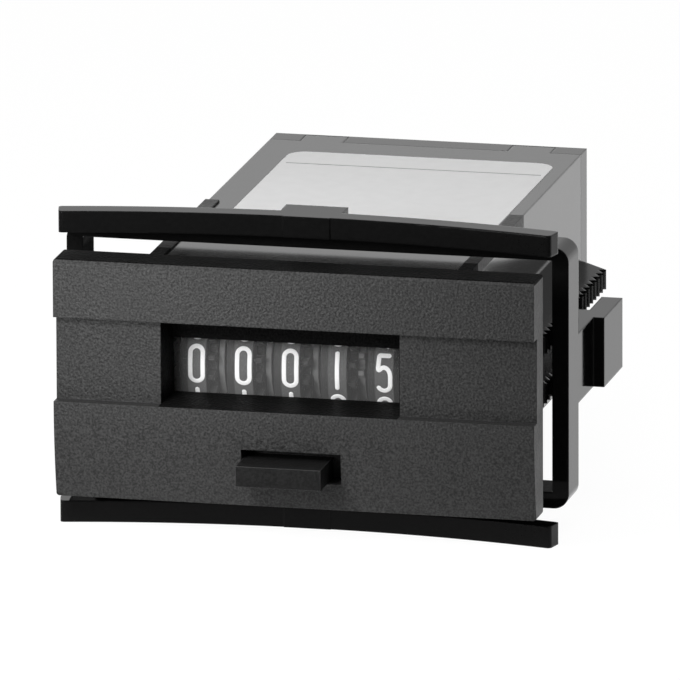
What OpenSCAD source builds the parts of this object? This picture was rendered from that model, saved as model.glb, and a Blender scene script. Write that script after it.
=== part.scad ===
// Five-figure impulse counter for panel mounting, with reset key and push-on clamp frame.
// Origin: centre of the front frame's rear face, on the panel. +X right, +Y to the rear, +Z up.

/* [Front frame] */
// Width of the front frame
front_w = 48; // [47:0.5:54]
// Height of the front frame
front_h = 24; // [23.5:0.5:27]
// Thickness of the front frame ahead of the panel
front_t = 4; // [3.6:0.1:5]
// Corner radius of the front frame at the top
front_r_top = 0.3; // [0.2:0.1:2]
// Corner radius of the front frame at the bottom
front_r_low = 0.3; // [0.2:0.1:2.5]
// Rounding of the front frame's outer edges
edge_r = 0.35; // [0.1:0.05:0.6]
// Height of the recessed band across the front
band_h = 8.45; // [7.6:0.05:9]
// Height of the band's upper edge above the centre
band_top = 6.15; // [5.6:0.05:6.6]
// How far the band lies back from the front
band_d = 1.3; // [0.6:0.1:1.6]
// How far the lower face falls back at its bottom edge
chin_fall = 1; // [0.2:0.1:1.4]
// Depth of the seat for the housing in the rear face
seat_d = 1.2; // [0.8:0.1:1.5]

/* [Figure window] */
// Width of the figure window
win_w = 23.8; // [22.5:0.1:24.5]
// Distance from the housing's left side to the window's centre
win_x = 14.3; // [13.9:0.1:14.7]
// Height of the sight opening in the mask
sight_h = 5.6; // [4.5:0.1:6.5]
// Distance from the panel back to the mask
mask_y = 1.9; // [1:0.1:2.2]
// Thickness of the mask
mask_t = 0.7; // [0.5:0.05:0.9]
// Thickness of the window's side walls
tunnel_wall = 0.9; // [0.6:0.1:1]
// Thickness of the clear pane
lens_t = 0.7; // [0.4:0.05:0.8]
// How far the pane reaches past the sight opening
lens_lap = 0.5; // [0.3:0.05:0.7]

/* [Reset key] */
// Width of the key
key_w = 8.5; // [6:0.1:10]
// Height of the key
key_h = 2.05; // [1.5:0.05:2.2]
// Centre of the key to the right of the middle
key_x = -0.9; // [-2:0.05:0]
// Centre of the key above the middle
key_z = -8.15; // [-8.2:0.05:-8]
// How far the key stands out of the front
key_out = 2.8; // [2.4:0.1:4]
// Travel of the key
key_travel = 2.4; // [1.5:0.1:2.4]
// Gap round the key in its slot
key_gap = 0.12; // [0.08:0.01:0.3]
// Extra gap above the key
key_head_gap = 0.8; // [0.1:0.05:0.9]

/* [Housing] */
// Width of the housing
house_w = 31.8; // [31.4:0.1:33]
// Height of the housing
house_h = 21.8; // [21.6:0.1:22.2]
// Distance from the panel to the housing's rear edge
house_l = 54; // [50:0.1:62]
// Thickness of the housing's side walls
side_wall = 1.2; // [1:0.05:1.3]
// Thickness of the housing's top and floor
floor_wall = 1.7; // [1.5:0.05:1.75]
// Width of the snap tongues along the housing's edges
tongue_w = 1.2; // [0.9:0.05:1.3]
// Height of the snap tongues
tongue_h = 0.9; // [0.7:0.05:1]
// How far the tongues stand proud of the housing
tongue_proud = 0.2; // [0.05:0.05:0.25]
// Distance from the panel to the tongues' ends
tongue_l = 27; // [18:0.5:30]
// Depth of the catch at the tongues' ends
catch_h = 0.3; // [0.1:0.05:0.4]
// Length of the catch at the tongues' ends
catch_l = 1.6; // [1:0.1:3]
// Gap between parts that seat in each other
seat_fit = 0.08; // [0.04:0.01:0.1]

/* [Racks] */
// How far the toothed rails stand out of the housing
rack_out = 6.3; // [5:0.1:7]
// Height of each rail
rail_h = 2; // [1.5:0.1:2.4]
// Gap between the upper and the lower rail
rail_gap = 3; // [2:0.1:3.4]
// Tooth pitch of the rails
tooth_pitch = 1.5; // [0.9:0.05:1.8]
// Depth of the teeth
tooth_d = 0.7; // [0.4:0.05:1]
// Gap between the panel's front and the rails, for the panel
rack_start = 2.3; // [2.1:0.1:4]
// Number of teeth along a rail
tooth_count = 23; // [18:1:28]

/* [Clamp frame] */
// Distance from the panel to the ring
ring_y = 6.4; // [6:0.1:8]
// Length of the ring along the housing
ring_l = 4.5; // [3:0.1:6]
// Wall of the ring
ring_wall = 1.65; // [1.2:0.05:2.2]
// Gap between the rails and the ring
ring_gap_x = 1.3; // [0.8:0.1:2]
// Gap between the tongues and the ring
ring_gap_z = 0.35; // [0.2:0.05:0.8]
// Corner radius of the ring
ring_r = 1.5; // [0.6:0.1:1.6]
// Overall width of the spring wings
wing_w = 49.6; // [46:0.1:52]
// Height of the spring wings
wing_h = 2.15; // [1.6:0.05:3]
// Thickness of the spring wings
wing_t = 2.2; // [1.6:0.05:2.6]
// Gap between the ring's top and the wings
wing_gap = 0.4; // [0.2:0.05:1]
// How far the wings' ends bow forward
wing_bow = 2.6; // [1.5:0.1:3]
// Gap between the panel's front and the wings' ends
wing_y = 0.85; // [0.7:0.05:1.2]
// Corner radius of the wings' ends
wing_end_r = 0.4; // [0.2:0.05:0.8]
// Centre of the block to the right of the middle
block_x = -0.35; // [-1:0.05:1]
// How far the block stands proud of the wings
block_proud = 0.15; // [0.05:0.05:0.4]
// Width of the block that joins wing and ring
block_w = 4.7; // [3:0.1:8]
// Width of the raised tab behind the block
tab_w = 6.2; // [5:0.1:10]
// Height of the latch arms
arm_h = 7; // [5:0.1:8]
// Thickness of the latch arms
arm_t = 1.2; // [0.8:0.05:1.5]
// Free length of the latch arms
arm_l = 6.7; // [2:0.1:8]
// Length of the finger grips
grip_l = 8.4; // [5:0.1:10]
// How far the finger grips stand out of the ring's side
grip_out = 1.1; // [0.8:0.1:2.5]
// Thickness of the finger grips
grip_t = 2.1; // [1.8:0.1:3]
// Number of teeth on each pawl
pawl_teeth = 3; // [2:1:4]
// Gap between the pawls and the rails' tooth tips
pawl_gap = 0.15; // [0.1:0.05:0.3]

/* [Rear cover] */
// Length of the rear cover
cover_l = 2.8; // [2.4:0.1:5]
// Thickness of the rear cover's wall
cover_wall = 1.4; // [1:0.05:1.6]
// Length of the spigot inside the housing
spigot_l = 2; // [1:0.1:3]
// Thickness of the spigot's wall
spigot_t = 1; // [0.7:0.05:1.5]
// Width of the housing's rear tongues
lug_w = 4.3; // [3:0.1:5]
// Distance of the rear tongues' centres from the middle
lug_x = 10.6; // [9:0.1:11]
// Thickness of the rear tongues
lug_t = 0.9; // [0.6:0.05:1]
// Width of the recess round the terminals
recess_w = 22; // [20:0.5:24]
// Height of the recess round the terminals
recess_h = 8; // [6:0.5:9]
// Depth of the recess round the terminals
recess_d = 0.5; // [0.2:0.05:0.8]
// How far the barrier between the terminals stands out of the recess
barrier_out = 2.2; // [1:0.1:4]
// Thickness of the barrier between the terminals
barrier_t = 1; // [0.6:0.1:1.6]

/* [Terminals] */
// Width of the blade terminals
blade_w = 2.8; // [2:0.1:4.8]
// Thickness of the blade terminals
blade_t = 0.5; // [0.4:0.1:0.8]
// How far the blades stand out of the rear cover
blade_l = 6.4; // [4:0.1:9]
// Distance of the blades' centres from the middle
blade_x = 6; // [4:0.1:8]
// Height of the blades above the middle
blade_z = -4; // [-6:0.1:6]
// Radius of the hole in the blades
blade_hole_r = 0.6; // [0.3:0.05:0.7]

/* [Figure wheels] */
// Radius of the figure wheels
wheel_r = 7; // [6.8:0.05:7.1]
// Distance from one wheel to the next
wheel_pitch = 4.7; // [4.6:0.02:4.74]
// Distance from the housing's left side to the middle of the figures
wheel_x = 13.82; // [13.6:0.02:14]
// Width of a figure rim to the left of the figure's middle
rim_left = 1.65; // [1.5:0.05:1.7]
// Width of a figure rim to the right of the figure's middle
rim_right = 0.95; // [0.9:0.05:1]
// Thickness of the figure rims
rim_t = 1; // [0.8:0.05:1.1]
// Gap between the pane and the wheels
wheel_gap = 0.3; // [0.2:0.05:0.6]
// Radius of the wheel shaft
shaft_r = 1; // [0.8:0.05:1.2]
// Running gap between a shaft and what turns on it
run_fit = 0.05; // [0.02:0.01:0.09]
// Pitch radius of the wheels' gear rims
gear_r = 6; // [5.9:0.05:6.1]
// Width of the gear rims
gear_w = 0.75; // [0.6:0.05:0.78]
// Width of the carry discs
disc_w = 0.55; // [0.4:0.05:0.6]
// Radius of the carry discs
disc_r = 5; // [4.4:0.1:5.1]
// Smallest radius of the zero cams
cam_low = 2.2; // [2.1:0.1:2.6]
// Largest radius of the zero cams
cam_high = 3.6; // [3.2:0.1:3.8]

/* [Carry pinions] */
// Radius of the pinion shaft
pinion_shaft_r = 0.6; // [0.5:0.05:0.7]
// Angle of the pinions below the wheels' axis, at the rear
pinion_deg = 25; // [22:1:28]
// Width of a carry pinion's toothed part
pinion_w = 1.3; // [1:0.05:1.4]
// Radius of the pinions' sleeves
sleeve_r = 1.15; // [1:0.05:1.2]

/* [Electromagnet] */
// Gap between the coil and the housing's rear edge
coil_y = 6.2; // [5.8:0.1:7]
// Length of the coil bobbin
coil_l = 14.5; // [10:0.1:15]
// Radius of the bobbin's flanges
flange_r = 6.5; // [5.5:0.1:6.8]
// Radius of the winding
winding_r = 5.9; // [4.5:0.1:6.2]
// Radius of the iron core
core_r = 2.5; // [2:0.1:2.8]
// Height of the coil's axis above the middle
coil_z = -1.2; // [-1.6:0.1:-0.6]
// Centre of the coil to the right of the middle
coil_x = -2; // [-3:0.1:0]
// Thickness of the iron yoke
yoke_t = 1.2; // [1:0.05:1.5]
// Width of the iron yoke
yoke_w = 11; // [9:0.1:12]
// Radius of the armature's pin
pin_r = 0.6; // [0.4:0.05:0.7]
// Thickness of the armature
armature_t = 1; // [0.8:0.05:1.1]
// Gap between the resting armature and the core
air_gap = 0.8; // [0.75:0.05:1]

/* [Hidden] */
$fn = 64;
eps = 0.01;

// Figures that the wheels show at rest, from the left
shown_figures = [0, 0, 0, 1, 5];
figure_deg = 36;
last_wheel = len(shown_figures) - 1;

// Front frame
band_low = band_top - band_h;
chin_points = 10;
front_y = -front_t;
seat_gap = tongue_proud + seat_fit;
seat_w = house_w + 2 * seat_gap;
seat_h = house_h + 2 * seat_gap;
sight_low = band_low;
window_mid = win_x - house_w / 2;
tunnel_end = mask_y + mask_t + lens_t;

// Cavity of the housing
room_w = house_w - 2 * side_wall;
room_h = house_h - 2 * floor_wall;
room_floor = -room_h / 2;
room_gap = 0.05;

// Reset key and comb
key_front = front_y - key_out;
key_lap = 0.35;
key_rear = -seat_d + key_lap;
collar_lap = 0.8;
collar_t = 0.8;
collar_y = -seat_d + room_gap;
stem_w = 4;
comb_y = 3;
comb_t = 1.6;
comb_float = 0.1;
comb_low = room_floor + comb_float;
comb_h = 1.2;
comb_gap = 0.3;
finger_w = 0.4;
finger_top = -3;
finger_h = 1;
finger_gap = 0.3;
post_w = 2;
post_t = 0.8;
post_gap = 0.2;
post_top = -wheel_r - post_gap;
key_spring_r = 0.42;
key_spring_turns = 7;
spring_wire_r = 0.12;

// Racks and clamp
rack_root = house_w / 2;
rack_tip = rack_root + rack_out;
rack_end = rack_start + tooth_count * tooth_pitch;
tooth_rake = 0.15;
ring_in_x = rack_tip + ring_gap_x;
ring_in_z = house_h / 2 + tongue_proud + ring_gap_z;
ring_out_x = ring_in_x + ring_wall;
ring_out_z = ring_in_z + ring_wall;
ring_rear = ring_y + ring_l;
wing_low = ring_out_z + wing_gap;
wing_top = wing_low + wing_h;
wing_half = (wing_w - wing_t) / 2;
wing_arc = (wing_half * wing_half + wing_bow * wing_bow) / (2 * wing_bow);
wing_mid_y = wing_y + wing_bow;
wing_mid_r = wing_arc + wing_t / 2;
wing_end_deg = asin((wing_w / 2 - wing_end_r) / wing_mid_r);
wing_fn = 720;
grip_y = ring_rear + arm_l;
grip_x = ring_out_x + grip_out;
pawl_x = rack_tip + pawl_gap;
pawl_lead = 1.5;
pawl_step = floor((grip_y - pawl_lead - rack_start) / tooth_pitch);
pawl_y = rack_start + (pawl_step + tooth_rake) * tooth_pitch;

// Rear cover and terminals
cover_rear = house_l + cover_l;
cover_inner = cover_rear - cover_wall;
shoulder_lap = 0.7;
shoulder_l = 1;
tail_l = 3;
blade_point = 0.7;

// Wheel train
wheel_teeth = 20;
pinion_teeth = 8;
axis_y = tunnel_end + wheel_gap + wheel_r;
train_mid = wheel_x - house_w / 2;
post_back = 2.7;
spring_post_y = axis_y - post_back;
cam_w = 0.7;
cam_points = 48;
hub_r = 2;
web_t = 0.7;
gear_add = 0.45;
gear_ded = 0.7;
gear_tip_deg = 2.2;
gear_root_deg = 4.4;
gear_hole_r = 4.4;
module_size = 2 * gear_r / wheel_teeth;
pinion_r = module_size * pinion_teeth / 2;
pinion_add = 0.35;
pinion_ded = 0.65;
pinion_tip_deg = 5;
pinion_root_deg = 12;
ratchet_teeth = 10;
saw_rake = 0.12;
carry_sink = 0.5;
carry_root_w = 0.9;
carry_tip_w = 0.5;
carry_gap = 0.12;
pinion_dist = gear_r + pinion_r;
carry_tip = pinion_dist - pinion_r - pinion_add - carry_gap;
pinion_y = axis_y + pinion_dist * cos(pinion_deg);
pinion_z = -pinion_dist * sin(pinion_deg);
mesh_deg = 90 - pinion_deg;
pinion_gap = 0.05;
cam_left = rim_left + cam_w;
disc_left = cam_left + disc_w;
plate_t = 0.45;
plate_gap = 0.3;
plate_lead = 1;
plate_tail = 4;
plate_left = -room_w / 2 + room_gap;
plate_right = train_mid + last_wheel / 2 * wheel_pitch + rim_right + gear_w + plate_gap;
plate_front = tunnel_end + plate_lead;
plate_rear = pinion_y + plate_tail;
plate_cut = 3;
plate_edge = room_h / 2 - room_gap;
plate_seat = 0.02;

// Electromagnet
coil_rear = house_l - coil_y;
coil_front = coil_rear - coil_l;
core_out = 0.8;
core_y = coil_front - core_out;
core_head_lap = 0.9;
core_head_t = 0.7;
bobbin_wall = 0.65;
flange_t = 1;
yoke_y = coil_rear + room_gap;
yoke_head = 1;
yoke_top = room_h / 2 - yoke_head;
pivot_y = core_y - air_gap - armature_t / 2;
ear_h = 2.6;
pivot_z = yoke_top - ear_h / 2;
knuckle_r = 1.1;
knuckle_gap = 0.1;
ear_w = 1;
armature_w = yoke_w - 2 * ear_w - 2 * knuckle_gap;
armature_drop = 4.8;
armature_low = coil_z - armature_drop;
armature_deg = 3.6;
pawl_arm_t = 0.5;
pawl_arm_gap = 0.35;
pawl_arm_x = plate_right - pawl_arm_gap - pawl_arm_t;
pawl_arm_top = yoke_top - 0.3;
pawl_arm_h = 1.2;
pawl_arm_tip = 4.7;
bracket_gap = 0.5;
bracket_h = 1.8;
pull_inset = 2.2;
pull_x = plate_right - pull_inset;
pull_z = -6;
pull_r = 0.9;
pull_spring_r = 0.7;
pull_post_back = 1;
pull_post_y = pinion_y + pull_post_back;
pull_post_t = 0.6;
pull_start = pull_post_y + pull_post_t + room_gap;
pull_l = pivot_y - armature_t / 2 - room_gap - pull_start;
pull_pitch = 0.9;
pull_turns = round(pull_l / pull_pitch);

function wheel_place(i) = train_mid + (i - last_wheel / 2) * wheel_pitch;

// Straight-flanked teeth round a circle, first tooth on the polar axis
function teeth(n, root, tip, root_deg, tip_deg) = [
    for (k = [0 : n - 1], s = [[root, -root_deg], [tip, -tip_deg], [tip, tip_deg], [root, root_deg]])
        s[0] * [cos(360 * k / n + s[1]), sin(360 * k / n + s[1])]
];

// Saw teeth round a circle
function saw(n, root, tip) = [
    for (k = [0 : n - 1], s = [[root, 0], [tip, 1]])
        s[0] * [cos(360 * (k + saw_rake * s[1]) / n), sin(360 * (k + saw_rake * s[1]) / n)]
];

// Heart outline: the radius grows evenly from the zero point to both sides
function heart(low, high, n) = [
    for (k = [0 : n - 1])
        let (turn = 360 * k / n, share = abs(turn - 180) / 180)
            (low + (high - low) * (1 - share)) * [cos(turn), sin(turn)]
];

// A box from its lowest corner to its highest corner
module span(low, high) {
    translate(low) cube(high - low);
}

// Extrudes a front view (X, Z) from y0 to y1
module front_slab(y0, y1) {
    translate([0, y1, 0]) rotate([90, 0, 0]) linear_extrude(y1 - y0) children();
}

// Extrudes a side view (Y, Z) from x0 to x1
module side_slab(x0, x1) {
    translate([x0, 0, 0]) rotate([90, 0, 90]) linear_extrude(x1 - x0) children();
}

// A round bar along X
module bar_x(r, x0, x1, y, z) {
    translate([x0, y, z]) rotate([0, 90, 0]) cylinder(r = r, h = x1 - x0);
}

// A round bar along Y
module bar_y(r, y0, y1, x, z) {
    translate([x, y0, z]) rotate([-90, 0, 0]) cylinder(r = r, h = y1 - y0);
}

// A rectangle with round corners, one radius for the upper pair and one for the lower
module round_rect(w, h, r_top, r_low) {
    union() {
        translate([-w / 2, -h / 2 + r_low]) square([w, h - r_top - r_low]);
        translate([-w / 2 + r_top, -h / 2 + r_low]) square([w - 2 * r_top, h - r_low]);
        translate([-w / 2 + r_low, -h / 2]) square([w - 2 * r_low, h - r_top]);
        for (s = [-1, 1]) {
            translate([s * (w / 2 - r_top), h / 2 - r_top]) circle(r_top);
            translate([s * (w / 2 - r_low), -h / 2 + r_low]) circle(r_low);
        }
    }
}

// A round wire wound along +Z from z = 0 to z = length
module wire_coil(r, wire, length, turns) {
    sides = 6;
    steps = 12;
    rings = turns * steps;
    points = [
        for (k = [0 : rings], j = [0 : sides - 1])
            let (a = 360 * k / steps, b = 360 * j / sides, rr = r + wire * cos(b))
                [rr * cos(a), rr * sin(a), wire + (length - 2 * wire) * k / rings + wire * sin(b)]
    ];
    skin = [
        for (k = [0 : rings - 1], j = [0 : sides - 1])
            let (a = k * sides + j, b = k * sides + (j + 1) % sides)
                [a, a + sides, b + sides, b]
    ];
    caps = [[for (j = [0 : sides - 1]) j], [for (j = [sides - 1 : -1 : 0]) rings * sides + j]];
    polyhedron(points, concat(skin, caps));
}

// Side view of the front frame: upper strip, band set back, lower face curving back
module front_section() {
    chin_h = front_h / 2 + band_low;
    polygon(concat(
        [[0, -front_h / 2], [0, front_h / 2]],
        [[front_y + edge_r, front_h / 2], [front_y, front_h / 2 - edge_r]],
        [[front_y, band_top], [front_y + band_d, band_top], [front_y + band_d, band_low]],
        [for (k = [0 : chin_points])
            [front_y + chin_fall * pow(k / chin_points, 2), band_low - chin_h * k / chin_points]]
    ));
}

// One snap tongue along the upper right edge of the housing, grown by a gap where it is cut
module snap_tongue(gap) {
    x_in = house_w / 2 - tongue_w - gap;
    x_out = house_w / 2 + tongue_proud + gap;
    z_in = house_h / 2 - tongue_h - gap;
    z_out = house_h / 2 + tongue_proud + gap;
    span([x_in, -seat_d - eps, z_in], [x_out, tongue_l + gap, z_out]);
    span([x_in, tongue_l - catch_l - gap, z_in - catch_h], [x_out, tongue_l + gap, z_out]);
}

// Repeats a shape of the upper right corner in all four corners
module four_corners() {
    for (sx = [0, 1], sz = [0, 1]) mirror([sx, 0, 0]) mirror([0, 0, sz]) children();
}

module front_bezel() {
    win_low = window_mid - win_w / 2;
    win_high = window_mid + win_w / 2;
    color("#3a3a3a") difference() {
        union() {
            difference() {
                intersection() {
                    side_slab(-front_w / 2, front_w / 2) front_section();
                    front_slab(front_y, 0) round_rect(front_w, front_h, front_r_top, front_r_low);
                }
                span([-seat_w / 2, -seat_d, -seat_h / 2], [seat_w / 2, eps, seat_h / 2]);
            }
            span([win_low - tunnel_wall, -seat_d - eps, sight_low - tunnel_wall],
                [win_high + tunnel_wall, tunnel_end, band_top + tunnel_wall]);
            four_corners() snap_tongue(0);
        }
        span([win_low, front_y - eps, sight_low], [win_high, mask_y, band_top]);
        span([win_low, mask_y - eps, sight_low], [win_high, tunnel_end + eps, sight_low + sight_h]);
        span([win_low - lens_lap, mask_y + mask_t, sight_low - lens_lap],
            [win_high + lens_lap, tunnel_end + eps, sight_low + sight_h + lens_lap]);
        span([key_x - key_w / 2 - key_gap, front_y - eps, key_z - key_h / 2 - key_gap],
            [key_x + key_w / 2 + key_gap, eps, key_z + key_h / 2 + key_gap + key_head_gap]);
    }
}

module window_lens() {
    lap = lens_lap - seat_fit;
    color("#c8d4da") span([window_mid - win_w / 2 - lap, mask_y + mask_t, sight_low - lap],
        [window_mid + win_w / 2 + lap, tunnel_end, sight_low + sight_h + lap]);
}

module reset_button() {
    color("#2c2c2c") union() {
        span([key_x - key_w / 2, key_front, key_z - key_h / 2],
            [key_x + key_w / 2, key_rear, key_z + key_h / 2]);
        span([key_x - key_w / 2 - collar_lap, collar_y, comb_low],
            [key_x + key_w / 2 + collar_lap, collar_y + collar_t,
                key_z + key_h / 2 + key_head_gap + collar_lap]);
        span([key_x - stem_w / 2, collar_y, comb_low], [key_x + stem_w / 2, comb_y, comb_low + comb_h]);
    }
}

module reset_comb() {
    tip_y = axis_y - sqrt(cam_high * cam_high - finger_top * finger_top) - finger_gap - key_travel;
    color("#b9bcc0") union() {
        span([plate_left + plate_t + comb_gap, comb_y, comb_low],
            [plate_right - comb_gap, comb_y + comb_t, comb_low + comb_h]);
        for (i = [0 : last_wheel])
            side_slab(wheel_place(i) - rim_left - cam_w / 2 - finger_w / 2,
                wheel_place(i) - rim_left - cam_w / 2 + finger_w / 2)
                polygon([[comb_y, comb_low], [comb_y + comb_t, comb_low], [tip_y, finger_top - finger_h],
                    [tip_y, finger_top], [tip_y - comb_t, finger_top]]);
    }
}

module button_spring() {
    color("#c9c9c9") translate([key_x, comb_y + comb_t + room_gap, comb_low + key_spring_r + spring_wire_r])
        rotate([-90, 0, 0])
            wire_coil(key_spring_r, spring_wire_r, spring_post_y - comb_y - comb_t - 2 * room_gap,
                key_spring_turns);
}

// One toothed rail seen from above, on the right-hand side
module rail_outline() {
    valley = rack_tip - tooth_d;
    polygon(concat(
        [[rack_root - side_wall / 2, rack_start]],
        [for (k = [0 : tooth_count - 1], s = [0, 1])
            [s == 0 ? valley : rack_tip, rack_start + (k + s * tooth_rake) * tooth_pitch]],
        [[valley, rack_end], [rack_tip, rack_end + tooth_rake * tooth_pitch]],
        [[rack_root, rack_end + tooth_rake * tooth_pitch + rack_out]],
        [[rack_root - side_wall / 2, rack_end + tooth_rake * tooth_pitch + rack_out]]
    ));
}

module rear_lug(gap) {
    span([lug_x - lug_w / 2 - gap, house_l - eps, house_h / 2 - lug_t - gap],
        [lug_x + lug_w / 2 + gap, cover_rear - cover_wall / 4 + gap, house_h / 2 + gap]);
}

module housing() {
    color("#6f6f6f") difference() {
        union() {
            span([-house_w / 2, -seat_d, -house_h / 2], [house_w / 2, house_l, house_h / 2]);
            for (sx = [0, 1], sz = [-1, 1])
                mirror([sx, 0, 0]) translate([0, 0, sz * (rail_gap + rail_h) / 2 - rail_h / 2])
                    linear_extrude(rail_h) rail_outline();
            four_corners() rear_lug(0);
        }
        difference() {
            span([-room_w / 2, -seat_d - eps, -room_h / 2], [room_w / 2, house_l + eps, room_h / 2]);
            span([key_x - post_w / 2, spring_post_y, room_floor - eps],
                [key_x + post_w / 2, spring_post_y + post_t, post_top]);
        }
        span([key_x - key_w / 2 - key_gap, -seat_d - eps, key_z - key_h / 2 - key_gap],
            [key_x + key_w / 2 + key_gap, key_rear + key_travel + room_gap, 0]);
        four_corners() snap_tongue(seat_fit);
    }
}

module rear_cover() {
    recess_y = cover_rear - recess_d;
    recess_low = blade_z - recess_h / 2;
    recess_high = blade_z + recess_h / 2;
    color("#565656") difference() {
        union() {
            difference() {
                span([-house_w / 2, house_l, -house_h / 2], [house_w / 2, cover_rear, house_h / 2]);
                span([-recess_w / 2, recess_y, recess_low], [recess_w / 2, cover_rear + eps, recess_high]);
            }
            span([-barrier_t / 2, recess_y - eps, recess_low - eps],
                [barrier_t / 2, recess_y + barrier_out, recess_high + eps]);
            span([-room_w / 2 + seat_fit, house_l - spigot_l, -room_h / 2 + seat_fit],
                [room_w / 2 - seat_fit, house_l + eps, room_h / 2 - seat_fit]);
        }
        span([-room_w / 2 + seat_fit + spigot_t, house_l - spigot_l - eps, -room_h / 2 + seat_fit + spigot_t],
            [room_w / 2 - seat_fit - spigot_t, cover_inner, room_h / 2 - seat_fit - spigot_t]);
        four_corners() rear_lug(seat_fit);
        for (s = [-1, 1])
            span([s * blade_x - blade_w / 2 - seat_fit, cover_inner - eps, blade_z - blade_t / 2 - seat_fit],
                [s * blade_x + blade_w / 2 + seat_fit, cover_rear + eps, blade_z + blade_t / 2 + seat_fit]);
    }
}

// A blade terminal with a shoulder inside the cover and a chamfered point
module blade_terminal(side) {
    half = blade_w / 2;
    tip = cover_rear + blade_l;
    color("#c8b27a") translate([side * blade_x, 0, blade_z - blade_t / 2])
    linear_extrude(blade_t) difference() {
        union() {
            translate([-half, cover_inner - tail_l])
                square([blade_w, tip - blade_point - cover_inner + tail_l]);
            translate([-half - shoulder_lap, cover_inner - shoulder_l])
                square([blade_w + 2 * shoulder_lap, shoulder_l]);
            polygon([[-half, tip - blade_point], [half, tip - blade_point], [half - blade_point, tip],
                [-half + blade_point, tip]]);
        }
        translate([0, tip - blade_l / 3]) circle(blade_hole_r);
    }
}

// The bowed wing seen from above: an arc band whose ends have round corners
module wing_outline() {
    reach = 2 * wing_arc;
    end = reach * [sin(wing_end_deg), cos(wing_end_deg)];
    translate([0, wing_mid_y - wing_arc]) union() {
        intersection() {
            difference() {
                circle(wing_arc + wing_t, $fn = wing_fn);
                circle(wing_arc, $fn = wing_fn);
            }
            polygon([[0, 0], end, [-end[0], end[1]]]);
        }
        for (s = [-1, 1]) rotate(s * wing_end_deg) {
            for (r = [wing_arc + wing_end_r, wing_arc + wing_t - wing_end_r])
                translate([0, r]) circle(wing_end_r);
            translate([-wing_end_r, wing_arc + wing_end_r]) square([2 * wing_end_r, wing_t - 2 * wing_end_r]);
        }
    }
}

// The pawl's teeth seen from above, on the right-hand side
module pawl_outline() {
    polygon(concat(
        [[grip_x - grip_t + eps, pawl_y]],
        [for (k = [0 : pawl_teeth - 1], s = [0, 1])
            [s == 0 ? pawl_x + tooth_d : pawl_x, pawl_y + (k + s * (1 - tooth_rake)) * tooth_pitch]],
        [[pawl_x + tooth_d, pawl_y + pawl_teeth * tooth_pitch]],
        [[grip_x - grip_t + eps, pawl_y + pawl_teeth * tooth_pitch]]
    ));
}

module clamp_frame() {
    root_y = wing_mid_y + wing_t / 2;
    block_front = wing_mid_y - block_proud;
    block_rear = ring_y + 0.4 * ring_l;
    color("#1d1d1d") union() {
        front_slab(ring_y, ring_rear) difference() {
            round_rect(2 * ring_out_x, 2 * ring_out_z, ring_r, ring_r);
            square([2 * ring_in_x, 2 * ring_in_z], center = true);
        }
        for (m = [0, 1]) mirror([0, 0, m]) {
            translate([0, 0, wing_low]) linear_extrude(wing_h) wing_outline();
            translate([block_x, 0, 0]) union() {
                span([-block_w / 2, block_front, wing_low], [block_w / 2, block_rear, wing_top]);
                span([-block_w / 2, ring_y, ring_in_z + eps], [block_w / 2, block_rear, wing_top]);
                span([-tab_w / 2, root_y, wing_top - wing_h / 2], [tab_w / 2, block_rear, wing_top]);
            }
        }
        for (m = [0, 1]) mirror([m, 0, 0]) {
            span([ring_out_x - arm_t, ring_rear - eps, -arm_h / 2], [ring_out_x, grip_y + eps, arm_h / 2]);
            span([grip_x - grip_t, grip_y, -arm_h / 2], [grip_x, grip_y + grip_l, arm_h / 2]);
            translate([0, 0, -arm_h / 2]) linear_extrude(arm_h) pawl_outline();
        }
    }
}

// Side view of a mechanism plate with cut corners
module plate_outline() {
    polygon([[plate_front, -plate_edge], [plate_rear, -plate_edge], [plate_rear, plate_edge - plate_cut],
        [plate_rear - plate_cut, plate_edge], [plate_front + plate_cut, plate_edge],
        [plate_front, plate_edge - plate_cut]]);
}

module mechanism_plate(x0) {
    side_slab(x0, x0 + plate_t) difference() {
        plate_outline();
        translate([axis_y, 0]) circle(shaft_r + plate_seat);
        translate([pinion_y, pinion_z]) circle(pinion_shaft_r + plate_seat);
    }
}

module left_side_plate() {
    color("#b4b8bb") mechanism_plate(plate_left);
}

module right_side_plate() {
    color("#b4b8bb") union() {
        mechanism_plate(plate_right);
        span([pull_x - pull_r, pull_post_y, pull_z - pull_r],
            [plate_right + eps, pull_post_y + pull_post_t, pull_z + pull_r]);
    }
}

module wheel_shaft() {
    color("#d0d3d6") bar_x(shaft_r, plate_left, plate_right + plate_t, axis_y, 0);
}

module pinion_shaft() {
    color("#d0d3d6") bar_x(pinion_shaft_r, plate_left, plate_right + plate_t, pinion_y, pinion_z);
}

// One figure wheel: rim and web, hub, zero cam, carry disc with its two teeth, and gear rim
module number_wheel(i) {
    bore = shaft_r + run_fit;
    left = i == 0 ? cam_left - pinion_gap : disc_left;
    module ring_part(h0, h1) {
        translate([0, 0, h0]) linear_extrude(h1 - h0) children();
    }
    color("#4b4b4b") translate([wheel_place(i), axis_y, 0])
        rotate([-figure_deg * shown_figures[i], 0, 0]) rotate([0, 90, 0]) difference() {
            union() {
                ring_part(-rim_left, rim_right) difference() {
                    circle(wheel_r);
                    circle(wheel_r - rim_t);
                }
                ring_part(rim_right - web_t, rim_right) circle(wheel_r - rim_t / 2);
                ring_part(-left, rim_right + gear_w) circle(hub_r);
                ring_part(-cam_left, -rim_left + eps) polygon(heart(cam_low, cam_high, cam_points));
                if (i > 0) ring_part(-disc_left, -cam_left + eps) carry_disc();
                ring_part(rim_right - eps, rim_right + gear_w) wheel_gear(i);
            }
            translate([0, 0, -disc_left - 1]) cylinder(r = bore, h = 2 * disc_left + 2);
        }
}

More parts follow.
